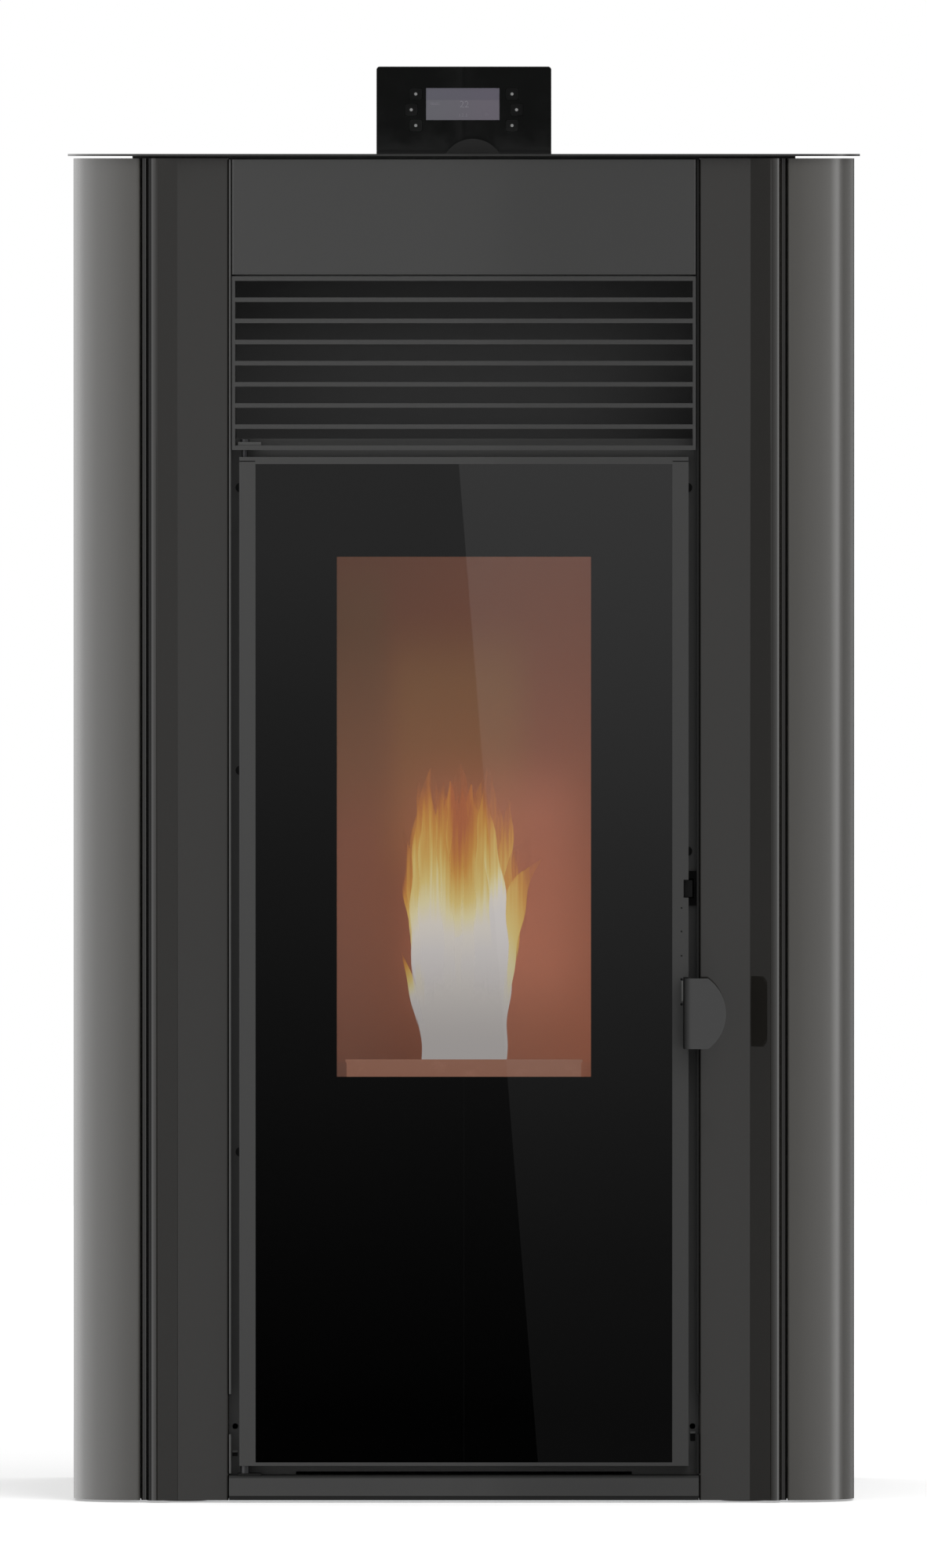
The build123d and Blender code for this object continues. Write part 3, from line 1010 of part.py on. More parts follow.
# ---------------------------------------------------------------- auger and igniter
def auger_tube():
    """The tube that the screw turns in, with the hopper's throat and the drop chute."""
    half = AUGER_PLATE / 2
    bore = AUGER_TUBE_RADIUS - AUGER_TUBE_WALL
    inner_front = FIREBOX_REAR_Y + AUGER_PLATE_THICKNESS
    inner_rear = AUGER_END_Y - AUGER_PLATE_THICKNESS
    throat_half = HOPPER_OUTLET_WIDTH / 2
    throat_depth = HOPPER_OUTLET_DEPTH / 2
    tube = rod_y(AUGER_TUBE_RADIUS, 0, AUGER_Z, FIREBOX_REAR_Y, AUGER_END_Y)
    tube += wide_block(half, FIREBOX_REAR_Y, inner_front, AUGER_Z - half, AUGER_Z + half)
    tube += wide_block(half, inner_rear, AUGER_END_Y, AUGER_Z - half, AUGER_Z + half)
    tube += wide_block(throat_half + AUGER_TUBE_WALL, OUTLET_Y - throat_depth - AUGER_TUBE_WALL,
                       OUTLET_Y + throat_depth + AUGER_TUBE_WALL, AUGER_Z, HOPPER_SEAT_Z)
    tube += outlet_flange(HOPPER_SEAT_Z - THROAT_FLANGE_THICKNESS, HOPPER_SEAT_Z)
    tube += chute(CHUTE_RADIUS)
    return tube - [
        rod_y(bore, 0, AUGER_Z, inner_front, inner_rear),
        wide_block(throat_half, OUTLET_Y - throat_depth, OUTLET_Y + throat_depth,
                   AUGER_Z, HOPPER_SEAT_Z),
        chute(CHUTE_RADIUS - AUGER_TUBE_WALL),
        rod_y(SCREW_SHAFT_RADIUS + SHAFT_CLEARANCE, 0, AUGER_Z, FIREBOX_REAR_Y, AUGER_END_Y),
    ]


def auger_screw():
    """A shaft with one continuous blade wound round it."""
    blade_start = FIREBOX_REAR_Y + SCREW_END_GAP
    blade_length = AUGER_TUBE_LENGTH - 2 * SCREW_END_GAP
    path = Helix(SCREW_PITCH, blade_length, SCREW_RADIUS)
    inner_radius = SCREW_SHAFT_RADIUS - SHAFT_CLEARANCE
    blade_middle = (SCREW_RADIUS + inner_radius) / 2
    section = Plane(origin=(blade_middle, 0, 0), x_dir=(1, 0, 0), z_dir=(0, 1, 0)) * Rectangle(
        SCREW_RADIUS - inner_radius, SCREW_BLADE)
    blade = sweep(section, path=path, is_frenet=True)
    blade = Pos(0, blade_start + blade_length, AUGER_Z) * Rot(90, 0, 0) * blade
    return blade + rod_y(SCREW_SHAFT_RADIUS, 0, AUGER_Z, FIREBOX_REAR_Y + SHAFT_CLEARANCE,
                         AUGER_END_Y + SHAFT_IN_GEARBOX)


def auger_gearmotor():
    half = GEARBOX_SIZE / 2
    gearbox_end = AUGER_END_Y + GEARBOX_LENGTH
    gearbox = wide_block(half, AUGER_END_Y, gearbox_end, AUGER_Z - half, AUGER_Z + half)
    gearbox = fillet(gearbox.edges().filter_by(Axis.Y), AUGER_TUBE_WALL)
    motor = rod_y(GEARMOTOR_RADIUS, 0, AUGER_Z, gearbox_end, gearbox_end + GEARMOTOR_LENGTH)
    return gearbox + motor - rod_y(SCREW_SHAFT_RADIUS + SHAFT_CLEARANCE, 0, AUGER_Z,
                                   AUGER_END_Y, AUGER_END_Y + SHAFT_IN_GEARBOX)


def igniter():
    """A heating rod that reaches the burn pot through the firebox's rear wall."""
    tip_y = POT_Y + POT_DEPTH / 2 + IGNITER_TIP_GAP
    flange_end = FIREBOX_REAR_Y + IGNITER_FLANGE
    rod = rod_y(IGNITER_RADIUS, 0, IGNITER_Z, tip_y, flange_end + IGNITER_TAIL)
    return rod + rod_y(IGNITER_FLANGE_RADIUS, 0, IGNITER_Z, FIREBOX_REAR_Y, flange_end)


# ---------------------------------------------------------------- exhaust fan, flue, air
def exhaust_fan_housing():
    """A round fan case with a side box that leads to the flue."""
    half = FAN_OUTLET_SIZE / 2
    inlet_y = FIREBOX_REAR_Y
    inner_front, inner_rear = FAN_FRONT_Y + FAN_WALL, FAN_REAR_Y - FAN_WALL
    case = rod_y(FAN_RADIUS, FAN_X, FAN_Z, FAN_FRONT_Y, FAN_REAR_Y)
    case += block(FAN_X, FLUE_X + half, FAN_FRONT_Y, FAN_REAR_Y, FLUE_Z - half, FLUE_Z + half)
    case += rod_y(FAN_INLET_RADIUS + FAN_WALL, FAN_X, FAN_Z, inlet_y, FAN_FRONT_Y)
    case += rod_y(FAN_INLET_RADIUS + FAN_INLET_FLANGE, FAN_X, FAN_Z, inlet_y,
                  inlet_y + FAN_INLET_FLANGE_THICKNESS)
    box_half = half - FAN_WALL
    return case - [
        rod_y(FAN_RADIUS - FAN_WALL, FAN_X, FAN_Z, inner_front, inner_rear),
        block(FAN_X, FLUE_X + box_half, inner_front, inner_rear,
              FLUE_Z - box_half, FLUE_Z + box_half),
        rod_y(FAN_INLET_RADIUS, FAN_X, FAN_Z, inlet_y, inner_front),
        rod_y(FAN_SHAFT_RADIUS + SHAFT_CLEARANCE, FAN_X, FAN_Z, inner_rear, FAN_REAR_Y),
        rod_y(FLUE_RADIUS - FLUE_WALL, FLUE_X, FLUE_Z, inner_rear, FAN_REAR_Y),
    ]


def exhaust_impeller():
    """A paddle wheel on the exhaust motor's shaft."""
    plate_rear = FAN_REAR_Y - FAN_WALL - IMPELLER_GAP
    plate_front = plate_rear - IMPELLER_PLATE
    shaft_front = plate_rear - IMPELLER_HUB_LENGTH
    wheel = rod_y(IMPELLER_RADIUS, FAN_X, FAN_Z, plate_front, plate_rear)
    wheel += rod_y(IMPELLER_HUB_RADIUS, FAN_X, FAN_Z, shaft_front, plate_rear)
    wheel += rod_y(FAN_SHAFT_RADIUS, FAN_X, FAN_Z, shaft_front, shaft_front + FAN_SHAFT_LENGTH)
    blade = block(IMPELLER_HUB_RADIUS - FAN_WALL, IMPELLER_RADIUS - FAN_WALL,
                  plate_front - IMPELLER_BLADE_DEPTH, plate_front,
                  -IMPELLER_BLADE / 2, IMPELLER_BLADE / 2)
    for turn in range(IMPELLER_BLADES):
        wheel += Pos(FAN_X, 0, FAN_Z) * Rot(0, 360 * turn / IMPELLER_BLADES, 0) * blade
    return wheel


def exhaust_fan_motor():
    shaft_end = FAN_REAR_Y - FAN_WALL - IMPELLER_GAP - IMPELLER_HUB_LENGTH + FAN_SHAFT_LENGTH
    motor = rod_y(FAN_MOTOR_RADIUS, FAN_X, FAN_Z, FAN_REAR_Y, FAN_REAR_Y + FAN_MOTOR_LENGTH)
    motor = chamfer(motor.edges().group_by(Axis.Y)[-1], FAN_WALL)
    return motor - rod_y(FAN_SHAFT_RADIUS + SHAFT_CLEARANCE, FAN_X, FAN_Z,
                         FAN_REAR_Y, shaft_end + FAN_WALL)


def flue_spigot():
    """The flue's pipe, from the fan's outlet box through the back panel."""
    end_y = BODY_DEPTH + FLUE_REACH
    pipe = rod_y(FLUE_RADIUS, FLUE_X, FLUE_Z, FAN_REAR_Y, end_y)
    pipe += rod_y(FLUE_RADIUS + PIPE_STEP, FLUE_X, FLUE_Z, FAN_REAR_Y,
                  end_y - FLUE_SPIGOT_LENGTH)
    pipe += rod_y(FLUE_RADIUS + FLUE_FLANGE, FLUE_X, FLUE_Z, FAN_REAR_Y,
                  FAN_REAR_Y + FLUE_FLANGE_THICKNESS)
    return pipe - rod_y(FLUE_RADIUS - FLUE_WALL, FLUE_X, FLUE_Z, FAN_REAR_Y, end_y)


def air_intake_pipe():
    """The pipe that leads combustion air from the room to the firebox."""
    end_y = BODY_DEPTH + AIR_PIPE_REACH
    pipe = rod_y(AIR_PIPE_RADIUS, FLUE_X, AIR_PIPE_Z, FIREBOX_REAR_Y, end_y)
    pipe += rod_y(AIR_PIPE_RADIUS + PIPE_STEP, FLUE_X, AIR_PIPE_Z, FIREBOX_REAR_Y,
                  end_y - AIR_SPIGOT_LENGTH)
    return pipe - rod_y(AIR_PIPE_RADIUS - AIR_PIPE_WALL, FLUE_X, AIR_PIPE_Z, FIREBOX_REAR_Y, end_y)


# ---------------------------------------------------------------- room-air fan and duct
def room_fan_housing():
    """The blower's case on the base plate, open at the front and on top."""
    left, right = BLOWER_X - BLOWER_WIDTH / 2, BLOWER_X + BLOWER_WIDTH / 2
    front, rear = BLOWER_Y - BLOWER_DEPTH / 2, BLOWER_Y + BLOWER_DEPTH / 2
    top_z = BASE_TOP_Z + BLOWER_HEIGHT
    wall, margin = BLOWER_SHEET, BLOWER_OPENING_MARGIN
    case = block(left, right, front, rear, BASE_TOP_Z, top_z)
    case -= block(left + wall, right - wall, front + wall, rear - wall,
                  BASE_TOP_Z + wall, top_z - wall)
    return case - [
        block(left + margin, right - margin, front, front + wall,
              BASE_TOP_Z + margin, top_z - margin),
        block(left + margin, right - margin, front + margin, rear - margin, top_z - wall, top_z),
        rod_x(ROTOR_SHAFT_RADIUS + SHAFT_CLEARANCE, BLOWER_Y, ROTOR_Z, left, left + wall),
        rod_x(ROTOR_SHAFT_RADIUS + SHAFT_CLEARANCE, BLOWER_Y, ROTOR_Z, right - wall, right),
    ]


def room_fan_rotor():
    """A drum of blades between two discs, on a shaft that reaches into its motor."""
    left, right = BLOWER_X - BLOWER_WIDTH / 2, BLOWER_X + BLOWER_WIDTH / 2
    drum_left, drum_right = left + ROTOR_END_GAP, right - ROTOR_END_GAP
    rotor = rod_x(ROTOR_SHAFT_RADIUS, BLOWER_Y, ROTOR_Z, left, right + ROTOR_SHAFT_IN_MOTOR)
    for disc_x in (drum_left, drum_right - ROTOR_DISC):
        rotor += rod_x(ROTOR_RADIUS, BLOWER_Y, ROTOR_Z, disc_x, disc_x + ROTOR_DISC)
    blade = block(drum_left, drum_right, ROTOR_RADIUS - ROTOR_BLADE_DEPTH,
                  ROTOR_RADIUS - ROTOR_BLADE, -ROTOR_BLADE / 2, ROTOR_BLADE / 2)
    for turn in range(ROTOR_BLADES):
        rotor += Pos(0, BLOWER_Y, ROTOR_Z) * Rot(360 * turn / ROTOR_BLADES, 0, 0) * blade
    return rotor


def room_fan_motor():
    left = BLOWER_X + BLOWER_WIDTH / 2
    motor = rod_x(BLOWER_MOTOR_RADIUS, BLOWER_Y, ROTOR_Z, left, left + BLOWER_MOTOR_LENGTH)
    motor = chamfer(motor.edges().group_by(Axis.X)[-1], BLOWER_SHEET)
    foot_block = block(left, left + BLOWER_MOTOR_LENGTH - BLOWER_SHEET,
                       BLOWER_Y - BLOWER_MOTOR_RADIUS / 2, BLOWER_Y + BLOWER_MOTOR_RADIUS / 2,
                       BASE_TOP_Z, ROTOR_Z)
    return motor + foot_block - rod_x(ROTOR_SHAFT_RADIUS + SHAFT_CLEARANCE, BLOWER_Y, ROTOR_Z,
                                      left, left + ROTOR_SHAFT_IN_MOTOR + BLOWER_SHEET)


def warm_air_duct():
    """The box behind the grille. Warm air rises into it past both sides of the firebox."""
    half = GRILLE_OPENING_WIDTH / 2
    rear_y = FRAME_REAR_Y + DUCT_DEPTH
    top_z = GRILLE_TOP_Z - GRILLE_OPENING_DROP
    duct = wide_block(half + DUCT_SHEET, FRAME_REAR_Y, rear_y, FIREBOX_TOP_Z, top_z + DUCT_SHEET)
    duct -= wide_block(half, FRAME_REAR_Y, rear_y - DUCT_SHEET, FIREBOX_TOP_Z + DUCT_SHEET, top_z)
    inlet = block(FIREBOX_HALF + DUCT_INLET_MARGIN, half - DUCT_INLET_MARGIN,
                  FRAME_REAR_Y + DUCT_INLET_MARGIN, rear_y - DUCT_INLET_MARGIN,
                  FIREBOX_TOP_Z, FIREBOX_TOP_Z + DUCT_SHEET)
    return duct - [inlet, mirrored(inlet)]


# ---------------------------------------------------------------- electrics
def control_board():
    """The main circuit board on standoffs at the right side frame, with its tall parts."""
    frame_x = CHASSIS_HALF - CHASSIS_SHEET
    board_x = frame_x - BOARD_STANDOFF
    front, rear = BOARD_Y - BOARD_WIDTH / 2, BOARD_Y + BOARD_WIDTH / 2
    low, high = BOARD_Z - BOARD_HEIGHT / 2, BOARD_Z + BOARD_HEIGHT / 2
    board = block(board_x - BOARD_THICKNESS, board_x, front, rear, low, high)
    for y in (front + BOARD_STANDOFF, rear - BOARD_STANDOFF):
        for z in (low + BOARD_STANDOFF, high - BOARD_STANDOFF):
            board += rod_x(POST_RADIUS, y, z, board_x, frame_x)
    face_x = board_x - BOARD_THICKNESS
    margin = BOARD_PART_MARGIN
    part_front, part_low = front + margin, low + margin
    relay_low = low + RELAY_LIFT
    terminal_rear = rear - TERMINAL_INSET
    board += block(face_x - TRANSFORMER_DEPTH, face_x, part_front, part_front + TRANSFORMER_WIDTH,
                   part_low, part_low + TRANSFORMER_HEIGHT)
    board += block(face_x - RELAY_DEPTH, face_x, part_front, part_front + RELAY_WIDTH,
                   relay_low, relay_low + RELAY_HEIGHT)
    board += block(face_x - TERMINAL_DEPTH, face_x, terminal_rear - TERMINAL_WIDTH,
                   terminal_rear, part_low, high - margin)
    for step in range(CAPACITOR_COUNT):
        z = low + CAPACITOR_PITCH * (step + 1)
        board += rod_x(CAPACITOR_RADIUS, front + CAPACITOR_INSET, z,
                       face_x - CAPACITOR_LENGTH, face_x)
    return board


def power_inlet():
    """The mains socket and the frame of the rocker switch, in one insert of the back panel."""
    left, right = INLET_X - INLET_WIDTH / 2, INLET_X + INLET_WIDTH / 2
    low, high = INLET_Z - INLET_HEIGHT / 2, INLET_Z + INLET_HEIGHT / 2
    switch_half = ROCKER_WIDTH / 2 + ROCKER_WALL
    end_x = SWITCH_X + switch_half
    face_y = BODY_DEPTH + INLET_FLANGE_THICKNESS
    insert = block(left, end_x, face_y - INLET_DEPTH, face_y, low, high)
    insert += block(left - INLET_FLANGE, end_x + INLET_FLANGE, BODY_DEPTH, face_y,
                    low - INLET_FLANGE, high + INLET_FLANGE)
    wall = INLET_WALL
    insert -= block(left + wall, right - wall, face_y - INLET_DEPTH + wall, face_y,
                    low + wall, high - wall)
    for step in (-1, 0, 1):
        pin_x = INLET_X + step * INLET_WIDTH / 4
        insert += wide_block(INLET_PIN / 2, face_y - INLET_DEPTH + wall, face_y - 2 * wall,
                             INLET_Z - INLET_PIN, INLET_Z + INLET_PIN, x=pin_x)
    reach = ROCKER_RADIUS + ROCKER_CLEARANCE
    room = ROCKER_WIDTH / 2 + ROCKER_CLEARANCE
    insert -= block(SWITCH_X - room, SWITCH_X + room, BODY_DEPTH - reach, face_y,
                    INLET_Z - reach, INLET_Z + reach)
    pin_room = ROCKER_WIDTH / 2 + ROCKER_PIN_LENGTH + ROCKER_CLEARANCE
    return insert - rod_x(ROCKER_PIN_RADIUS + PIN_CLEARANCE, BODY_DEPTH, INLET_Z,
                          SWITCH_X - pin_room, SWITCH_X + pin_room)


def power_switch():
    """A rocker that pivots in the insert, tilted to its off side."""
    half = ROCKER_WIDTH / 2
    rocker = rod_x(ROCKER_RADIUS, 0, 0, -half, half)
    rocker &= wide_block(half, -ROCKER_RADIUS, ROCKER_FACE, -ROCKER_RADIUS, ROCKER_RADIUS)
    rocker += rod_x(ROCKER_PIN_RADIUS, 0, 0, -half - ROCKER_PIN_LENGTH, half + ROCKER_PIN_LENGTH)
    return Pos(SWITCH_X, BODY_DEPTH, INLET_Z) * Rot(ROCKER_TILT, 0, 0) * rocker


# ---------------------------------------------------------------- control panel
def key_opening(name, y0, y1, clearance):
    x, row = KEYS[name]
    z = KEY_MIDDLE_Z + row * KEY_PITCH_Z
    shape = RectangleRounded(KEY_WIDTH - 2 * clearance, KEY_HEIGHT - 2 * clearance, KEY_CORNER)
    return Pos(x, y1, z) * Rot(90, 0, 0) * extrude(shape, y1 - y0)


def screen_block(y0, y1, clearance):
    half_height = SCREEN_HEIGHT / 2 - clearance
    return wide_block(SCREEN_WIDTH / 2 - clearance, y0, y1, SCREEN_Z - half_height,
                      SCREEN_Z + half_height, x=SCREEN_X)


def panel_bracket():
    """The foot of the control panel: a base with a front lip and two ears."""
    half = PANEL_WIDTH / 2
    base_top = TOP_SURFACE_Z + BRACKET_BASE
    lip_y = PANEL_FRONT_Y - BRACKET_LIP_GAP - BRACKET_LIP_THICKNESS
    bracket = wide_block(half, lip_y, PANEL_REAR_Y + PANEL_DEPTH, TOP_SURFACE_Z, base_top)
    bracket += wide_block(half, lip_y, lip_y + BRACKET_LIP_THICKNESS, TOP_SURFACE_Z,
                          TOP_SURFACE_Z + BRACKET_LIP_HEIGHT)
    for x in (-PIVOT_X, PIVOT_X):
        bracket += wide_block(EAR_THICKNESS / 2, PIVOT_Y - EAR_RADIUS, PIVOT_Y + EAR_RADIUS,
                              base_top, PIVOT_Z, x=x)
        bracket += rod_x(EAR_RADIUS, PIVOT_Y, PIVOT_Z, x - EAR_THICKNESS / 2,
                         x + EAR_THICKNESS / 2)
        bracket -= rod_x(PIN_RADIUS + PIN_CLEARANCE, PIVOT_Y, PIVOT_Z, x - EAR_THICKNESS / 2,
                         x + EAR_THICKNESS / 2)
    return bracket


def board_posts():
    """Where the panel's board is screwed down, as x and z."""
    low = PANEL_BOTTOM_Z + PANEL_FOOT + BOARD_EDGE_GAP + 2 * POST_RADIUS
    high = PANEL_TOP_Z - PANEL_WALL - BOARD_EDGE_GAP - 2 * POST_RADIUS
    reach = PANEL_WIDTH / 2 - PANEL_WALL - BOARD_EDGE_GAP - 2 * POST_RADIUS
    return [(x, z) for x in (-reach, reach) for z in (low, high)]


def panel_housing():
    """The panel's rear shell, with pivot pins in two recesses of its lower edge."""
    half = PANEL_WIDTH / 2
    shell = wide_block(half, FASCIA_REAR_Y, PANEL_REAR_Y, PANEL_BOTTOM_Z, PANEL_TOP_Z)
    upper_corners = shell.edges().filter_by(Axis.Y).group_by(Axis.Z)[-1]
    shell = fillet(upper_corners, PANEL_CORNER)
    inner_y = PANEL_REAR_Y - PANEL_WALL
    shell -= wide_block(half - PANEL_WALL, FASCIA_REAR_Y, inner_y,
                        PANEL_BOTTOM_Z + PANEL_FOOT, PANEL_TOP_Z - PANEL_WALL)
    for x, z in board_posts():
        shell += rod_y(POST_RADIUS, x, z, PANEL_BOARD_Y + PANEL_BOARD, inner_y)
    room_x = EAR_THICKNESS / 2 + EAR_SIDE_GAP
    room = EAR_RADIUS + EAR_CLEARANCE
    for x in (-PIVOT_X, PIVOT_X):
        shell -= wide_block(room_x, PIVOT_Y - room, PANEL_REAR_Y,
                            PANEL_BOTTOM_Z, PIVOT_Z + room, x=x)
        shell += rod_x(PIN_RADIUS, PIVOT_Y, PIVOT_Z, x - room_x, x + room_x)
    return shell


def panel_fascia():
    """The black front plate, cut out for the display and the keys."""
    plate = wide_block(PANEL_WIDTH / 2, PANEL_FRONT_Y, FASCIA_REAR_Y, PANEL_BOTTOM_Z, PANEL_TOP_Z)
    plate = fillet(plate.edges().filter_by(Axis.Y).group_by(Axis.Z)[-1], PANEL_CORNER)
    plate -= screen_block(PANEL_FRONT_Y, FASCIA_REAR_Y, 0)
    for name in KEYS:
        plate -= key_opening(name, PANEL_FRONT_Y, FASCIA_REAR_Y, 0)
    return plate


def panel_board():
    half = PANEL_WIDTH / 2 - PANEL_WALL - BOARD_EDGE_GAP
    return wide_block(half, PANEL_BOARD_Y, PANEL_BOARD_Y + PANEL_BOARD,
                      PANEL_BOTTOM_Z + PANEL_FOOT + BOARD_EDGE_GAP,
                      PANEL_TOP_Z - PANEL_WALL - BOARD_EDGE_GAP)


def display_screen():
    return screen_block(PANEL_FRONT_Y + SCREEN_RECESS, PANEL_BOARD_Y, SCREEN_CLEARANCE)


def key(name):
    return key_opening(name, PANEL_FRONT_Y - KEY_PROUD, PANEL_BOARD_Y - KEY_REST_GAP,
                       KEY_CLEARANCE)


# ---------------------------------------------------------------- the stove
def chassis_nodes():
    side = side_frame()
    yield "base_plate", [base_plate()]
    yield "front_frame", [front_frame()]
    yield "side_frames", [side, mirrored(side)]
    yield "back_panel", [back_panel()]
    yield "top_plate", [top_plate()]
    yield "cover_screws", cover_screws()
    for name, (x, y) in foot_places().items():
        yield name, [foot(x, y)]


def cover_nodes():
    panel, strip = side_panel(), pilaster()
    yield "side_panel_right", [panel]
    yield "side_panel_left", [mirrored(panel)]
    yield "pilaster_right", [strip]
    yield "pilaster_left", [mirrored(strip)]
    yield "upper_front_panel", [upper_front_panel()]
    yield "air_grille", [air_grille()]
    yield "plinth_panel", [plinth_panel()]


def door_nodes():
    lower_bracket_z = bracket_span()[2]
    brackets = [hinge_bracket(lower_bracket_z), hinge_bracket(DOOR_TOP_Z + TOP_PIN_GAP)]
    yield "hinge_brackets", brackets
    yield "hinge_pins", [lower_pin(), upper_pin()]
    yield "latch_keeper", [latch_keeper()]
    yield "door_frame", [door_frame()]
    yield "door_glass", [door_glass()]
    yield "door_seals", door_seals()
    yield "door_handle", [door_handle()]
    yield "latch_hook", [latch_hook()]


def fire_nodes():
    yield "firebox_shell", [firebox_shell()]
    yield "firebox_lining", firebox_lining()
    yield "baffle_plate", [baffle_plate()]
    yield "burn_pot_support", [burn_pot_support()]
    yield "burn_pot", [burn_pot()]
    yield "ash_drawer", [ash_drawer()]
    yield "igniter", [igniter()]
    yield "exhaust_fan_housing", [exhaust_fan_housing()]
    yield "exhaust_fan_motor", [exhaust_fan_motor()]
    yield "exhaust_impeller", [exhaust_impeller()]
    yield "flue_spigot", [flue_spigot()]
    yield "air_intake_pipe", [air_intake_pipe()]


def feed_nodes():
    yield "hopper", [hopper()]
    yield "hopper_lid", [hopper_lid()]
    yield "auger_tube", [auger_tube()]
    yield "auger_screw", [auger_screw()]
    yield "auger_gearmotor", [auger_gearmotor()]


def air_and_electric_nodes():
    yield "room_fan_housing", [room_fan_housing()]
    yield "room_fan_rotor", [room_fan_rotor()]
    yield "room_fan_motor", [room_fan_motor()]
    yield "warm_air_duct", [warm_air_duct()]
    yield "control_board", [control_board()]
    yield "power_inlet", [power_inlet()]
    yield "power_switch", [power_switch()]


def control_panel_nodes():
    yield "panel_bracket", [panel_bracket()]
    yield "panel_housing", [panel_housing()]
    yield "panel_fascia", [panel_fascia()]
    yield "panel_board", [panel_board()]
    yield "display_screen", [display_screen()]
    for name in KEYS:
        yield name, [key(name)]


def build():
    os.makedirs("parts", exist_ok=True)
    groups = (chassis_nodes, cover_nodes, door_nodes, fire_nodes, feed_nodes,
              air_and_electric_nodes, control_panel_nodes)
    for group in groups:
        for name, pieces in group():
            save(name, *pieces)


build()
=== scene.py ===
"""Pellet stove: the finishes, the fire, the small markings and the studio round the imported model."""
import math
import random

import bmesh
import bpy
from mathutils import Matrix, Vector


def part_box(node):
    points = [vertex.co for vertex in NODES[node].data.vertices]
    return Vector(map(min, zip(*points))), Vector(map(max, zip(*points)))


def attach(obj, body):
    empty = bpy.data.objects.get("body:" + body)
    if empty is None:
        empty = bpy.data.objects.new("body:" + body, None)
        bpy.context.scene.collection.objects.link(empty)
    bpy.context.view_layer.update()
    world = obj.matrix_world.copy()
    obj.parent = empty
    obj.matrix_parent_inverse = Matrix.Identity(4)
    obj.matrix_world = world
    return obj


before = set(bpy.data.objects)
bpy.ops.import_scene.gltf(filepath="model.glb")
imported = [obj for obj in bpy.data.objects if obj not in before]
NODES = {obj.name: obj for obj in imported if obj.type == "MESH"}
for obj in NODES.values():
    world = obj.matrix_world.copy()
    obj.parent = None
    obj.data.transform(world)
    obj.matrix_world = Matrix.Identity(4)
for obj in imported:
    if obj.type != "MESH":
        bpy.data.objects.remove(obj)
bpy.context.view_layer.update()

# ---------------------------------------------------------------- where things are in the picture
PIXEL = 0.0007               # metres at the front plane for one pixel
PICTURE_MIDDLE = 591.5       # column of the stove's middle
FLOOR_ROW = 1917.0
FRONT_Y = -0.333             # the front plane
CAMERA_DISTANCE = 33.06      # from the front plane
CAMERA_HEIGHT = 1.2045
CAMERA_AIM = 0.642           # height of the picture's middle at the front plane
CAMERA_X = -0.00035          # half a pixel left of the stove's middle
VIEW_HEIGHT = 1.4            # what the picture takes in from foot to head
SENSOR_SIZE = 36.0
WHITE = (1.0, 1.0, 1.0)


def seen(column, row, y=FRONT_Y):
    """The point at depth y that shows at this column and row of the picture."""
    stretch = (CAMERA_DISTANCE + y - FRONT_Y) / CAMERA_DISTANCE
    x = (column - PICTURE_MIDDLE) * PIXEL * stretch
    z = CAMERA_HEIGHT + ((FLOOR_ROW - row) * PIXEL - CAMERA_HEIGHT) * stretch
    return Vector((x, y, z))


def grey(level):
    """The linear value of an 8-bit grey."""
    share = level / 255
    return share / 12.92 if share <= 0.04045 else ((share + 0.055) / 1.055) ** 2.4


def tint(red, green, blue):
    """The linear colour of an 8-bit colour."""
    return (grey(red), grey(green), grey(blue))


# ---------------------------------------------------------------- shader wires
class Wire:
    """A shader value that adds, multiplies and compares like a number."""

    def __init__(self, paint, socket):
        self.paint = paint
        self.socket = socket

    def __add__(self, other):
        return self.paint.math("ADD", self, other)

    def __radd__(self, other):
        return self.paint.math("ADD", other, self)

    def __sub__(self, other):
        return self.paint.math("SUBTRACT", self, other)

    def __rsub__(self, other):
        return self.paint.math("SUBTRACT", other, self)

    def __mul__(self, other):
        return self.paint.math("MULTIPLY", self, other)

    def __rmul__(self, other):
        return self.paint.math("MULTIPLY", other, self)

    def __truediv__(self, other):
        return self.paint.math("DIVIDE", self, other)

    def __rtruediv__(self, other):
        return self.paint.math("DIVIDE", other, self)

    def __abs__(self):
        return self.paint.math("ABSOLUTE", self, 0.0)

    def __gt__(self, other):
        return self.paint.math("GREATER_THAN", self, other)

    def __lt__(self, other):
        return self.paint.math("LESS_THAN", self, other)


